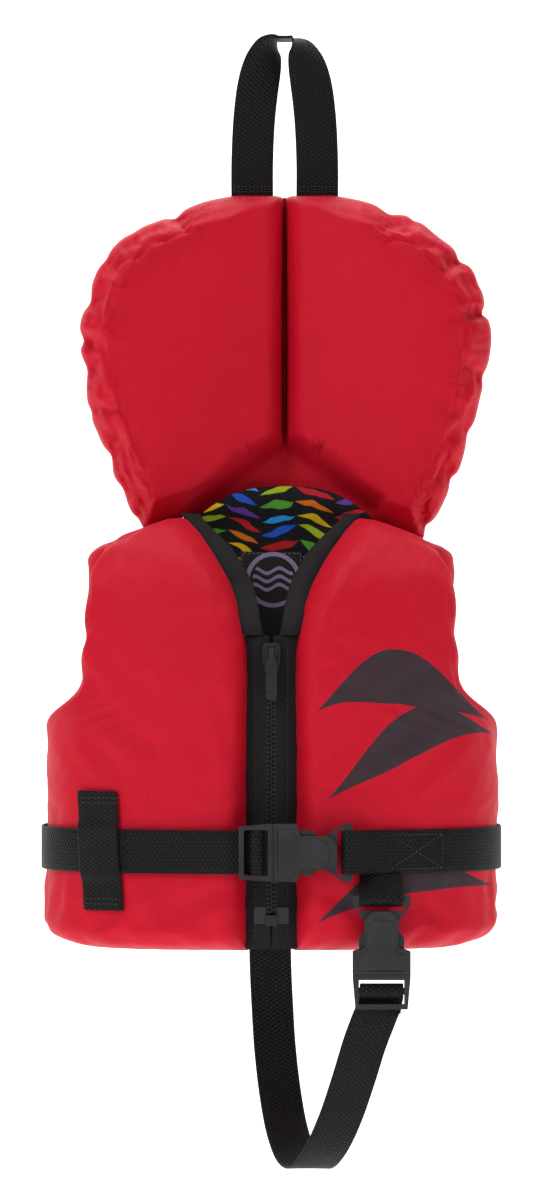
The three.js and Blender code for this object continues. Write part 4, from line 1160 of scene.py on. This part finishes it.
def build_collar(finishes):
    build_crease(finishes)
    for suffix, side in SIDES:
        outline, run = lobe_outline(side)
        count = len(outline)
        total = run[-1] + run[1]
        centre = np.array(LOBE_CENTRE)
        toward = centre - outline
        local = np.linalg.norm(toward, axis=1)
        depths = np.concatenate([np.arange(0, 24.5, 1.55), [27.5, 31.5, 36.5, 43]])
        gathers = lobe_gathers(run, total, side)
        rings = [outline + toward / local[:, None] * depth for depth in depths]
        rings += [mix(rings[-1], centre, share) for share in np.linspace(0, 1, 13)[1:-1]]
        flat = np.array(rings)
        gaps = np.linalg.norm(flat[:, :, None, :] - outline[None, None, ::2, :], axis=-1).min(-1)
        shift = np.broadcast_to(depths[:, None], (len(depths), count))
        near = gaps[: len(depths)]
        near = np.where(shift < 10, np.minimum(shift, near + 0.4), near)
        distance = np.concatenate([near, gaps[len(depths) :]])
        distance[0] = 0
        place = np.broadcast_to(run[None, :], distance.shape)
        outside = smooth(78, 100, place) * (1 - smooth(total - 262, total - 238, place))
        crease = smooth(total - 225, total - 205, place)

        dent = 0 * distance
        for at, deep, wide, slant in gathers:
            beside = (place - at - slant * distance) / (wide * (1 + distance / 14))
            dent = np.maximum(dent, deep * np.exp(-(beside**2)))
        fade_in = np.clip(distance / 4, 0, 1)
        folds = dent * fade_in * np.exp(-np.maximum(0, distance - 9) / 7)
        fine = seam_puckers(place, distance, 50 + side, 0.7, 9, 6.5)
        scallop = 3.0 * ripple(strung(place), 24, 60 + side) - 0.8 * dent
        scallop = scallop * outside * np.exp(-distance / 14)
        outward = -(toward / local[:, None])[None] * scallop[..., None]
        plan = flat + outward

        def lobe(plan_points, forward):
            a, z = plan_points[..., 0], plan_points[..., 1]
            x = COLLAR_X + side * a
            return np.stack([x, COLLAR_Y - a * COLLAR_TAN - forward, z], -1)

        # The padding stops short of a flat web along the slanting foot of the lobe.
        line = (plan[..., 1] - (64 - plan[..., 0] * 0.72)) / math.hypot(1, 0.72)
        web = 0.06 + 0.94 * smooth(-13, 4, line)
        web = np.where(plan[..., 0] > 52, np.maximum(web, smooth(52, 62, plan[..., 0])), web)
        gusset = mix(15.0, 9.0, crease)
        share = np.clip(distance / gusset, 0, 1)
        rolled = rounding(distance, gusset + 3.0, 2.0) * 0.93
        height = COLLAR_FRONT * mix(0.93 * share**0.62, rolled, crease)
        height += 3.0 * smooth(12, 46, distance)
        seam = np.exp(-(((distance - gusset) / 1.3) ** 2))
        height -= 1.2 * seam * outside
        slack = 2.6 * ripple(np.stack([place, 2.2 * distance, 0 * place], -1), 11, 90 + side)
        slack = slack * np.clip(distance / 3, 0, 1) * (1 - smooth(gusset - 2, gusset + 3, distance))
        height -= (folds * 2.2 + fine - slack) * outside
        points3 = lobe(plan, 0)
        height += relief(points3, 70 + side, 1.0, 0.45) * np.clip(distance / 12, 0, 1)
        height = np.minimum(height, (COLLAR_FRONT + 1.5) * web) * np.clip(distance / 0.5, 0, 1)
        height = height * web**0.3
        front = lobe(plan, height + 0.15)
        back_height = COLLAR_BACK * rounding(distance, 13.0, 2.0) - (folds * 0.6 + fine * 0.7) * outside
        back_height += relief(points3, 80 + side, 0.6, 0.3) * np.clip(distance / 12, 0, 1)
        back_height *= np.clip(distance / 0.5, 0, 1)
        back = lobe(plan, -back_height - 0.15)

        vertices = list(front.reshape(-1, 3))
        uvs = list((flat * MM).reshape(-1, 2))
        first_back = len(vertices)
        vertices += list(back[1:].reshape(-1, 3))
        uvs += uvs[count:first_back]
        poles = [len(vertices), len(vertices) + 1]
        vertices += [front[-1].mean(0), back[-1].mean(0)]
        uvs += [centre * MM, centre * MM]
        faces = []
        for face_side in (0, 1):
            def corner(i, j):
                if i == 0 or face_side == 0:
                    return i * count + j % count
                return first_back + (i - 1) * count + j % count

            turned = grid_faces(len(flat), count + 1, corner)
            last = len(flat) - 1
            turned += [(corner(last, j), corner(last, j + 1), poles[face_side]) for j in range(count)]
            outwards = (face_side == 0) == (side > 0)
            faces += turned if outwards else [face[::-1] for face in turned]
        lobe_pad = piece("collar_lobe_" + suffix, vertices, faces, uvs, finishes["shell"])
        loose = 0.78 * smooth(2, 7, distance) * (1 - smooth(16, 27, distance)) * outside
        hold = np.concatenate([1 - loose.ravel(), 1 - loose[1:].ravel() * 0.7, [1, 1]])
        settle(lobe_pad, hold, frames=14, pressure=1.6, spare=0.06, limit=5)
        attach(lobe_pad, "collar")
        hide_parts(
            "collar_cover_" + suffix, "collar_back_" + suffix,
            "collar_foam_front_" + suffix, "collar_foam_back_" + suffix,
        )
        stitches = []
        seam_line = lobe(plan[2], height[2] + 0.35)
        for j in range(0, count, 2):
            a, z = outline[j]
            if z > COLLAR_TOP - 14 and 3 < a < 46:
                step = seam_line[(j + 1) % count] - seam_line[j]
                stitches.append((seam_line[j] + step * 0.5, step * 0.42, 0.22))
        sewn = beads("collar_stitches_" + suffix, stitches, finishes["pink_thread"])
        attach(sewn, "collar")


# ---------------------------------------------------------------- webbing
def round_bar(along, y, start, end):
    """Webbing's turn round a bar, in the plane of its run and Y, between two angles in degrees."""
    turns = round(abs(end - start) / 45)
    angles = np.radians(np.linspace(start, end, turns + 1))
    return [(along + WRAP * math.cos(a), y - WRAP * math.sin(a)) for a in angles]


def belt_point(angle, out):
    return torso(angle, BELT_Z, out).tolist()


def belt_at(x, out):
    return belt_point(float(angle_at(x, BELT_OUT)), out)


def loop_knots():
    half = [
        (LOOP_X, COLLAR_TOP - 5), (LOOP_X, COLLAR_TOP + 20), (18.6, COLLAR_TOP + 45),
        (16.2, COLLAR_TOP + 66), (12.6, COLLAR_TOP + 82), (8.8, 295.6), (5, LOOP_TOP), (2.5, LOOP_TOP),
    ]
    y = COLLAR_Y - 4
    left = [(COLLAR_X - x, y, z) for x, z in half]
    return left + [(COLLAR_X, y, LOOP_TOP)] + [(COLLAR_X + x, y, z) for x, z in reversed(half)]


def strap_knots():
    bar = CROTCH_MOUTH_Z + PLUG_BAR_X
    behind = CROTCH_Y + BEHIND_LOCK
    knots = [
        (-1, HALF_DEPTH + 1.2, HEM_Z - 0.5), (-0.4, 53, -270), (0.6, 53, -290), (2, 50, -312),
        (5, 41, -338), (9.5, 24, -361), (16, 2, -376), (23, -20, -378), (31, -42, -367),
        (40, -61, -346), (48, -74, -321), (54.5, -81, -299), (61, behind + 0.8, bar - 13),
        (CROTCH_X - 0.8, behind, bar - 7),
    ]
    knots += [(CROTCH_X, y, z) for z, y in round_bar(bar, CROTCH_Y, 180, -45)]
    knots += [(CROTCH_X - 0.4, behind + LAYER, bar - 4), (62.6, behind + LAYER, bar - 12)]
    return knots


def build_loop(web):
    def loop_across(share):
        turn = float(smooth(0.25, 0.9, 1 - abs(2 * share - 1))) * math.pi / 2
        return (math.cos(turn), math.sin(turn), 0)

    loop, _ = ribbon("grab_loop_webbing", loop_knots(), 8, loop_across, web)
    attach(loop, "grab_loop")
    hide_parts("grab_loop")


def upright(share):
    return (0, 0, 1)


def sideways(share):
    return (1, 0, 0)


def build_belt(web):
    """The belt round the back from its socket, and its adjustable front end from the plug."""
    bar_x = WAIST_MOUTH_X + BAR_X
    sewn_x = bar_x + 30
    start = float(angle_at(sewn_x + 14, BELT_OUT))
    end = 2 * math.pi + float(angle_at(KEEPER_X + 4, BELT_OUT))
    body = []
    for i in range(27):
        angle = mix(start, end, i / 26)
        turn = min(angle, 2 * math.pi - angle)
        behind = float(smooth(SEAM_ANGLE - 0.2, SEAM_ANGLE + 0.5, turn))
        body.append(belt_point(angle, mix(BELT_OUT, BACK_BELT_OUT, behind)))
    knots = [belt_at(sewn_x, BELT_OUT), belt_at(sewn_x - 12, BELT_OUT)]
    knots += [(x, y, BELT_Z) for x, y in round_bar(bar_x, WAIST_Y, 270, 90)]
    knots += [belt_at(sewn_x - 14, BELT_OUT + LAYER + 1), belt_at(sewn_x, BELT_OUT + LAYER)] + body
    belt, _ = ribbon("waist_belt_webbing", knots, 5, upright, web)
    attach(belt, "root")
    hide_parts("waist_belt")

    bar_x = WAIST_MOUTH_X + PLUG_BAR_X
    tail_y = WAIST_Y + BEHIND_LOCK
    under_y = tail_y + LAYER
    knots = [belt_at(KEEPER_X + 5, BELT_OUT), belt_at(-70, BELT_OUT), belt_at(-48, BELT_OUT)]
    knots += [(-30, under_y, BELT_Z), (bar_x - 4, under_y, BELT_Z)]
    knots += [(x, y, BELT_Z) for x, y in round_bar(bar_x, WAIST_Y, -45, 180)]
    knots += [(bar_x - 7, tail_y - 0.3, BELT_Z), (bar_x - 11, tail_y, BELT_Z), (-27, tail_y, BELT_Z)]
    knots += [belt_at(x, BELT_OUT + LAYER) for x in (-48, -70, -84)]
    tail, _ = ribbon("waist_belt_adjuster", knots, 6, upright, web)
    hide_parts("waist_belt_front")
    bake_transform(tail)


def build_keeper(web):
    v = np.linspace(-1, 1, 60)[:, None]
    z = BELT_Z + v * 35
    x = KEEPER_X + np.linspace(-12, 12, 9)[None, :] - v * 2.0
    near_belt = 1 - smooth(WEB / 2 + 1, WEB / 2 + 6, np.abs(z - BELT_Z))
    out = FRONT_OUT + GAP + near_belt * 1.8 + 0.5 * (1 - near_belt) + 0 * x
    points = torso(-angle_at(-x, BELT_OUT), z + 0 * x, out + WEB_THICK * 0.6)
    keeper = thin_sheet("belt_keeper_strip", points, 1.2, web, flip=False)
    subdivide(keeper)
    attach(keeper, "root")
    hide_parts("belt_keeper")


def build_crotch_webbing(web):
    """The tab that hangs from the belt, and the strap from the back hem up to the buckle."""
    top_z = BELT_Z - WEB / 2 - 2 * GAP
    bar_z = CROTCH_MOUTH_Z + BAR_X
    top_y = float(torso(angle_at(CROTCH_X, BELT_OUT), top_z, BELT_OUT)[1])
    knots = [(CROTCH_X, top_y - LAYER, top_z), (CROTCH_X, top_y - LAYER - 2.5, top_z - 4)]
    knots += [(CROTCH_X, y, z) for z, y in round_bar(bar_z, CROTCH_Y, 90, 270)]
    knots += [(CROTCH_X, top_y - 1.2, top_z - 4), (CROTCH_X, top_y, top_z)]
    tab, _ = ribbon("crotch_tab_webbing", knots, 6, sideways, web)
    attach(tab, "root")
    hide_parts("crotch_tab")

    strap, line = ribbon("crotch_strap_webbing", strap_knots(), 6, sideways, web)
    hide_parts("crotch_strap")
    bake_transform(strap)


def sew_webbing(finishes):
    """The crossed box on the belt, the keeper's two ends and the bars at the loop's feet."""
    x0, x1, z0, z1 = 68, 98, -198, -178
    box = [(x0, z0), (x1, z0), (x1, z1), (x0, z1), (x0, z0), (x1, z1), (x1, z0), (x0, z1)]
    out = BELT_OUT + LAYER + 0.85
    places = sewn_path(
        box, 2.3, 0.33, 0.2, lambda at_x, at_z: torso(angle_at(at_x, BELT_OUT), at_z, out)
    )
    for z in (BELT_Z + 31, BELT_Z + 28, BELT_Z - 31, BELT_Z - 28):
        for i in range(9):
            angle = -angle_at(-(KEEPER_X - 10 + i * 2.5), BELT_OUT)
            places.append((torso(angle, z, FRONT_OUT + 2.1), (0.85, 0, 0), 0.2))
    sewn = beads("belt_stitches", places, finishes["black_thread"])
    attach(sewn, "root")
    bars = []
    for sign in (-1, 1):
        for row in range(3):
            for i in range(10):
                x = COLLAR_X + sign * LOOP_X - 10.5 + i * 2.3
                bars.append(((x, COLLAR_Y - 4.95, COLLAR_TOP + 2.2 + row * 1.6), (0.8, 0, 0), 0.2))
    sewn = beads("grab_loop_stitches", bars, finishes["black_thread"])
    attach(sewn, "grab_loop")


def build_webbing(finishes):
    for build in (build_loop, build_belt, build_keeper, build_crotch_webbing):
        build(finishes["webbing"])
    sew_webbing(finishes)


# ---------------------------------------------------------------- zip
def moulded(name, outline, y0, y1, finish, bevel, at=(0, 0, 0)):
    """A moulded piece from an outline in X and Z, with rounded edges."""
    count = len(outline)
    vertices = [(x, y0, z) for x, z in outline] + [(x, y1, z) for x, z in outline]
    vertices = (np.array(vertices) + np.array(at)).tolist()
    faces = [tuple(range(count)), tuple(reversed(range(count, 2 * count)))]
    for k in range(count):
        n = (k + 1) % count
        faces.append((n, k, k + count, n + count))
    made = piece(name, vertices, faces, None, finish)
    face_out(made)
    round_edges(made, bevel, 0.6)
    return made


def face_out(made):
    """Turns a closed mesh's faces outwards."""
    work = bmesh.new()
    work.from_mesh(made.data)
    bmesh.ops.recalc_face_normals(work, faces=work.faces)
    work.to_mesh(made.data)
    work.free()


def zip_tooth(vertices, faces, z, side):
    """One moulded tooth: a block on the tape's edge with a waisted head past the centre line."""
    outline = [(3.0, 0.64), (1.5, 0.64), (0.95, 0.4), (0.1, 0.6), (-0.9, 0.5)]
    outline = outline + [(x, -h) for x, h in reversed(outline)]
    first = len(vertices)
    for y, shrink in ((-1.5, 0.8), (-1.1, 1), (1.1, 1), (1.5, 0.8)):
        for x, h in outline:
            narrowed = x if shrink == 1 else mix(1.3, x, shrink)
            vertices.append((side * narrowed, ZIP_Y + y, z + h * shrink))
    n = len(outline)
    for ring in range(3):
        for k in range(n):
            a, b = first + ring * n, first + (ring + 1) * n
            faces.append((a + k, a + (k + 1) % n, b + (k + 1) % n, b + k))
    faces.append(tuple(first + k for k in range(n)))
    faces.append(tuple(first + 3 * n + k for k in reversed(range(n))))


def build_zip(finishes):
    plastic = finishes["zip_plastic"]
    pitch = 2.6
    for suffix, side in SIDES:
        vertices, faces = [], []
        z = -224.0 + (pitch / 2 if side > 0 else 0)
        while z < -66:
            zip_tooth(vertices, faces, z, side)
            z += pitch
        chain = piece("zip_teeth_" + suffix, vertices, faces, None, plastic, smooth_shade=False)
        face_out(chain)
        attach(chain, "root")
        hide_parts("zip_chain_" + suffix)

        z = np.linspace(-246, -62, 70)[:, None]
        u = np.linspace(0, 1, 10)[None, :]
        x = mix(mix(0.3, 1.1, smooth(-233, -225, z)), 15.5, u)
        y = ZIP_Y + 0.9 * (u - 0.3) ** 2 * 4 + 0 * z
        y = y + 0.35 * ripple(spread(x, z), 24, 33 + side) * smooth(0.25, 0.6, u)
        cord_bump = 0.7 * np.exp(-(((x - 3.0) / 0.8) ** 2))
        points = np.stack([side * x + 0 * z, y - 0.55 - cord_bump, z + 0 * x], -1)
        tape = thin_sheet("zip_tape_cloth_" + suffix, points, 0.6, finishes["facing"], flip=side > 0)
        subdivide(tape)
        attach(tape, "root")
        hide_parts("zip_tape_" + suffix)
        film = ((3.2, -231), (10.4, -231), (10.4, -222), (9.6, -221), (3.2, -221))
        tab = moulded(
            "zip_end_tab_" + suffix, [(side * x, z) for x, z in film],
            ZIP_Y - 1.9, ZIP_Y - 1.1, finishes["grey_film"], 0.25,
        )
        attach(tab, "root")
        places = [
            ((side * 9.6, ZIP_Y - 1.0, -238 + i * 3.0), (0, 0, 0.95), 0.19) for i in range(58)
        ]
        sewn = beads("zip_tape_stitches_" + suffix, places, finishes["black_thread"])
        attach(sewn, "root")

    z = np.linspace(-246, -66, 60)[:, None]
    x = np.linspace(-9.5, 9.5, 7)[None, :]
    wavy = 0.3 * ripple(spread(x, z), 20, 51)
    points = np.stack([x + 0 * z, ZIP_Y + 5.2 + wavy, z + 0 * x], -1)
    guard = thin_sheet("zip_guard_cloth", points, SHEET, finishes["facing"], flip=False)
    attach(guard, "root")

    outline = [
        (-3.6, -232.4), (3.6, -232.4), (4.0, -231), (4.0, -227),
        (3.4, -225.6), (-3.4, -225.6), (-4.0, -227), (-4.0, -231),
    ]
    box = moulded("zip_bottom_box", outline, ZIP_Y - 2.5, ZIP_Y + 2.4, plastic, 0.5)
    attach(box, "root")
    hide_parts("zip_box")

    body = [
        (-5.6, -69), (-4.6, -67.2), (-1.6, -66.4), (0, -67.6), (1.6, -66.4), (4.6, -67.2),
        (5.6, -69), (5.4, -76), (4.2, -83.4), (-4.2, -83.4), (-5.4, -76),
    ]
    top = moulded("zip_slider_top", body, ZIP_Y - 4.2, ZIP_Y - 2.1, plastic, 0.7)
    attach(top, "zip_slider")
    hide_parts("zip_slider")
    under = moulded("zip_slider_under", body, ZIP_Y + 2.1, ZIP_Y + 4.0, plastic, 0.6)
    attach(under, "zip_slider")
    rail = ((4.5, -69), (5.5, -69), (5.2, -76), (4.2, -83.2), (3.5, -83.2), (4.4, -76))
    cheek = ((2.3, -68.6), (3.3, -68.6), (3.3, -73.4), (2.3, -73.4))
    for suffix, side in SIDES:
        for label, outline, y0, y1, bevel in (
            ("zip_slider_rail_", rail, ZIP_Y - 2.6, ZIP_Y - 0.9, 0.2),
            ("zip_slider_ear_", cheek, -71.2, ZIP_Y - 3.6, 0.35),
        ):
            outline = [(side * x, z) for x, z in outline]
            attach(moulded(label + suffix, outline, y0, y1, plastic, bevel), "zip_slider")
    pin = beads("zip_slider_pin", [((0, -70, -71), (3.1, 0, 0), 0.8)], plastic, 12)
    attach(pin, "zip_slider")

    pull = [
        (-1.9, -69.2), (1.9, -69.2), (2.0, -75.5), (3.4, -77.5), (3.4, -98),
        (2.4, -99.8), (-2.4, -99.8), (-3.4, -98), (-3.4, -77.5), (-2.0, -75.5),
    ]
    puller = moulded("zip_puller_tab", pull, -71.6, -69.4, plastic, 0.5)
    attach(puller, "zip_puller")
    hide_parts("zip_puller")
    for row in range(5):
        z = -81.5 - row * 3.4
        grip = beads("zip_puller_grip_%d" % row, [((0, -71.65, z), (2.2, 0, 0), 0.4)], plastic, 10)
        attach(grip, "zip_puller")


# ---------------------------------------------------------------- buckles
def dress_buckle(name, finishes, latches):
    """Gives a buckle's moulded nodes their finish and rounds their edges."""
    names = [name + "_buckle_socket", name + "_buckle_plug"]
    for label in names + [name + "_latch_" + end for end in latches]:
        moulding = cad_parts[label]
        for slot in moulding.material_slots:
            slot.material = finishes["plastic"]
        round_edges(moulding, 0.55, 0.7)
        moulding.data.polygons.foreach_set("use_smooth", [True] * len(moulding.data.polygons))


def build_buckles(finishes):
    dress_buckle("waist", finishes, ("upper", "lower"))
    dress_buckle("crotch", finishes, ("right", "left"))
    for name, spin, at in (
        ("waist", False, (WAIST_MOUTH_X, WAIST_Y, BELT_Z)),
        ("crotch", True, (CROTCH_X, CROTCH_Y, CROTCH_MOUTH_Z)),
    ):
        def placed(points):
            return [(-z, x) if spin else (x, z) for x, z in points]

        face = [
            (2.2, 13.6), (10.5, 13.6), (14.0, 8.0), (27.0, 8.0), (31.5, 4.8),
            (31.5, -4.8), (27.0, -8.0), (14.0, -8.0), (10.5, -13.6), (2.2, -13.6),
        ]
        plate = moulded(
            name + "_buckle_face", placed(face), -6.3, -5.2, finishes["plastic"], 0.5, at
        )
        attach(plate, "root")
        shift, half = ((0, -5.6, 1.4), (15.2, 0, 0)) if spin else ((1.4, -5.6, 0), (0, 0, 15.2))
        bead = (np.array(at) + np.array(shift), half, 0.7)
        lip = beads(name + "_buckle_lip", [bead], finishes["plastic"], 10)
        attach(lip, "root")


# ---------------------------------------------------------------- stage
def soft_light(name, at, aim, size, power, colour=(1, 1, 1)):
    lamp = bpy.data.lights.new(name, "AREA")
    lamp.shape = "RECTANGLE"
    lamp.size, lamp.size_y = size
    lamp.energy = power
    lamp.color = colour
    made = bpy.data.objects.new(name, lamp)
    made.location = at
    made.rotation_euler = (Vector(aim) - Vector(at)).to_track_quat("-Z", "Y").to_euler()
    bpy.context.scene.collection.objects.link(made)


VIEW_HEIGHT = 0.708  # metres of height that fill the camera's view


def build_stage():
    floor_z, back_y, radius = -0.46, 1.6, 0.8
    start = back_y - radius
    profile = [(-4.0, floor_z), (start, floor_z)]
    for k in range(1, 13):
        turn = math.pi / 2 * k / 12
        profile.append((start + radius * math.sin(turn), floor_z + radius * (1 - math.cos(turn))))
    profile.append((back_y, 3.2))
    vertices = [(x * 1000, y * 1000, z * 1000) for x in (-3.5, 3.5) for y, z in profile]
    count = len(profile)
    faces = [(k, count + k, count + k + 1, k + 1) for k in range(count - 1)]
    made, tree, shader = new_material("pale_paper")
    grain = grain_texture(tree, (-2, 0), object_place(tree), 3).outputs[0]
    paper = blend_colour(tree, (-1, 0), grain, (0.90, 0.90, 0.90), (0.93, 0.93, 0.93))
    surface(tree, shader, paper, 0.95, 0.1)
    tree.links.new(paper, shader.inputs["Emission Color"])
    shader.inputs["Emission Strength"].default_value = 0.45
    shape = node(tree, "NewGeometry", (-1, 4))
    seen = calc(tree, (0, 4), "SUBTRACT", 1.0, shape.outputs["Backfacing"])
    tree.links.new(seen, shader.inputs["Alpha"])
    floor = piece("paper_sweep", vertices, faces, None, made)

    scene = bpy.context.scene
    scene.view_settings.view_transform = "Standard"
    world = bpy.data.worlds.new("studio")
    scene.world = world
    world.use_nodes = True
    sky = world.node_tree.nodes["Background"].inputs
    sky["Color"].default_value = (1, 1, 1, 1)
    sky["Strength"].default_value = 0.24
    soft_light("key", (-1.3, -1.9, 1.2), (0, 0, 0), (0.9, 0.9), 21)
    soft_light("fill", (1.7, -1.8, 0.4), (0, 0, -0.05), (1.0, 1.4), 6.5)
    soft_light("edge_left", (-1.3, -0.2, 0.2), (0, 0, 0), (0.5, 1.6), 1.5)
    soft_light("edge_right", (1.3, -0.2, 0.2), (0, 0, 0), (0.5, 1.6), 1.2)
    soft_light("backdrop_wash", (0, 0.3, 2.2), (0, 1.6, 0.2), (2.5, 0.8), 46)
    soft_light("back", (0, 1.2, 1.7), (0, 0, 0), (1.2, 0.8), 5)

    camera = bpy.data.cameras.new("front_camera")
    camera.lens = 160
    camera.sensor_width = 36
    distance = VIEW_HEIGHT * camera.lens / camera.sensor_width
    camera.clip_end = 30
    made = bpy.data.objects.new("front_camera", camera)
    made.location = (0.0027, -distance - 0.04, -0.0413)
    made.rotation_euler = (math.pi / 2, 0, 0)
    scene.collection.objects.link(made)
    scene.camera = made


# ---------------------------------------------------------------- finishes
def make_finishes(look):
    groups = {
        "weave": plain_weave_group(),
        "webbing": webbing_weave_group(),
        "wear": handling_group(),
    }
    red = tuple(look.shell_colour)
    black = tuple(look.webbing_colour)
    plastic = tuple(look.plastic_colour)
    return {
        "shell": shell_cloth("red_nylon", groups, red),
        "printed_shell": shell_cloth("red_nylon_printed", groups, red, wave_print),
        "lining": striped_lining("striped_lining", groups),
        "webbing": webbing_cloth("black_webbing", groups, black),
        "facing": black_cloth("black_facing", groups, (0.008, 0.0075, 0.008)),
        "patch": patch_cloth("ring_patch", groups),
        "plastic": moulded_plastic("black_acetal", groups, plastic),
        "zip_plastic": moulded_plastic("zip_acetal", groups, (0.006, 0.006, 0.007), 0.4),
        "grey_film": moulded_plastic("grey_film", groups, (0.010, 0.011, 0.017), 0.4),
        "pink_thread": thread_finish("pink_thread", (0.75, 0.16, 0.18)),
        "black_thread": thread_finish("black_thread", (0.05, 0.05, 0.055)),
        "lilac_thread": thread_finish("lilac_thread", (0.4, 0.32, 0.55)),
    }


FINISHES = {}


def finishes_now():
    if not FINISHES:
        FINISHES.update(make_finishes(bpy.context.scene.jacket))
    return FINISHES


# ---------------------------------------------------------------- add-on
class JacketLook(bpy.types.PropertyGroup):
    """Colours of the jacket's cloth and plastic"""

    shell_colour: bpy.props.FloatVectorProperty(
        name="Shell", description="Outer nylon", subtype="COLOR", size=3, min=0, max=1,
        default=(0.56, 0.0042, 0.021),
    )
    webbing_colour: bpy.props.FloatVectorProperty(
        name="Webbing", description="Belt, strap and loop", subtype="COLOR", size=3, min=0, max=1,
        default=(0.0085, 0.0082, 0.008),
    )
    plastic_colour: bpy.props.FloatVectorProperty(
        name="Buckles", description="Moulded buckles", subtype="COLOR", size=3, min=0, max=1,
        default=(0.010, 0.010, 0.011),
    )


class JACKET_OT_fronts(bpy.types.Operator):
    """Make the two front pads"""

    bl_idname = "jacket.fronts"
    bl_label = "Front Pads"

    def execute(self, context):
        build_fronts(finishes_now())
        return {"FINISHED"}


class JACKET_OT_back(bpy.types.Operator):
    """Make the back pad"""

    bl_idname = "jacket.back"
    bl_label = "Back Pad"

    def execute(self, context):
        build_back(finishes_now())
        return {"FINISHED"}


class JACKET_OT_linings(bpy.types.Operator):
    """Make the linings, the neck web, the facings and the label"""

    bl_idname = "jacket.linings"
    bl_label = "Linings"

    def execute(self, context):
        finishes = finishes_now()
        build_linings(finishes)
        web = build_neck_web(finishes)
        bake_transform(web)
        build_facings(finishes)
        build_label(finishes)
        return {"FINISHED"}


class JACKET_OT_collar(bpy.types.Operator):
    """Make the collar's two lobes and their stitching"""

    bl_idname = "jacket.collar"
    bl_label = "Collar"

    def execute(self, context):
        build_collar(finishes_now())
        return {"FINISHED"}


class JACKET_OT_webbing(bpy.types.Operator):
    """Make the grab loop, belt, keeper and crotch strap"""

    bl_idname = "jacket.webbing"
    bl_label = "Webbing"

    def execute(self, context):
        build_webbing(finishes_now())
        return {"FINISHED"}


class JACKET_OT_zip(bpy.types.Operator):
    """Make the zip's teeth, tapes, slider and puller"""

    bl_idname = "jacket.zip"
    bl_label = "Zip"

    def execute(self, context):
        build_zip(finishes_now())
        return {"FINISHED"}


class JACKET_OT_buckles(bpy.types.Operator):
    """Finish the two side-release buckles"""

    bl_idname = "jacket.buckles"
    bl_label = "Buckles"

    def execute(self, context):
        build_buckles(finishes_now())
        return {"FINISHED"}


class JACKET_OT_stage(bpy.types.Operator):
    """Make the floor, lights and camera"""

    bl_idname = "jacket.stage"
    bl_label = "Stage"

    def execute(self, context):
        build_stage()
        return {"FINISHED"}


STEPS = ("stage", "fronts", "back", "linings", "collar", "webbing", "zip", "buckles")


class JACKET_PT_panel(bpy.types.Panel):
    """Sidebar panel that lists the jacket's steps"""

    bl_idname = "JACKET_PT_panel"
    bl_label = "Life Jacket"
    bl_space_type = "VIEW_3D"
    bl_region_type = "UI"
    bl_category = "Jacket"

    def draw(self, context):
        look = context.scene.jacket
        for name in ("shell_colour", "webbing_colour", "plastic_colour"):
            self.layout.prop(look, name)
        for step in STEPS:
            self.layout.operator("jacket." + step)


CLASSES = (
    JacketLook,
    JACKET_OT_fronts,
    JACKET_OT_back,
    JACKET_OT_linings,
    JACKET_OT_collar,
    JACKET_OT_webbing,
    JACKET_OT_zip,
    JACKET_OT_buckles,
    JACKET_OT_stage,
    JACKET_PT_panel,
)


def register():
    for made in CLASSES:
        bpy.utils.register_class(made)
    bpy.types.Scene.jacket = bpy.props.PointerProperty(type=JacketLook)


def unregister():
    del bpy.types.Scene.jacket
    for made in reversed(CLASSES):
        bpy.utils.unregister_class(made)


def main():
    register()
    for step in STEPS:
        getattr(bpy.ops.jacket, step)()


if __name__ == "__main__":
    main()
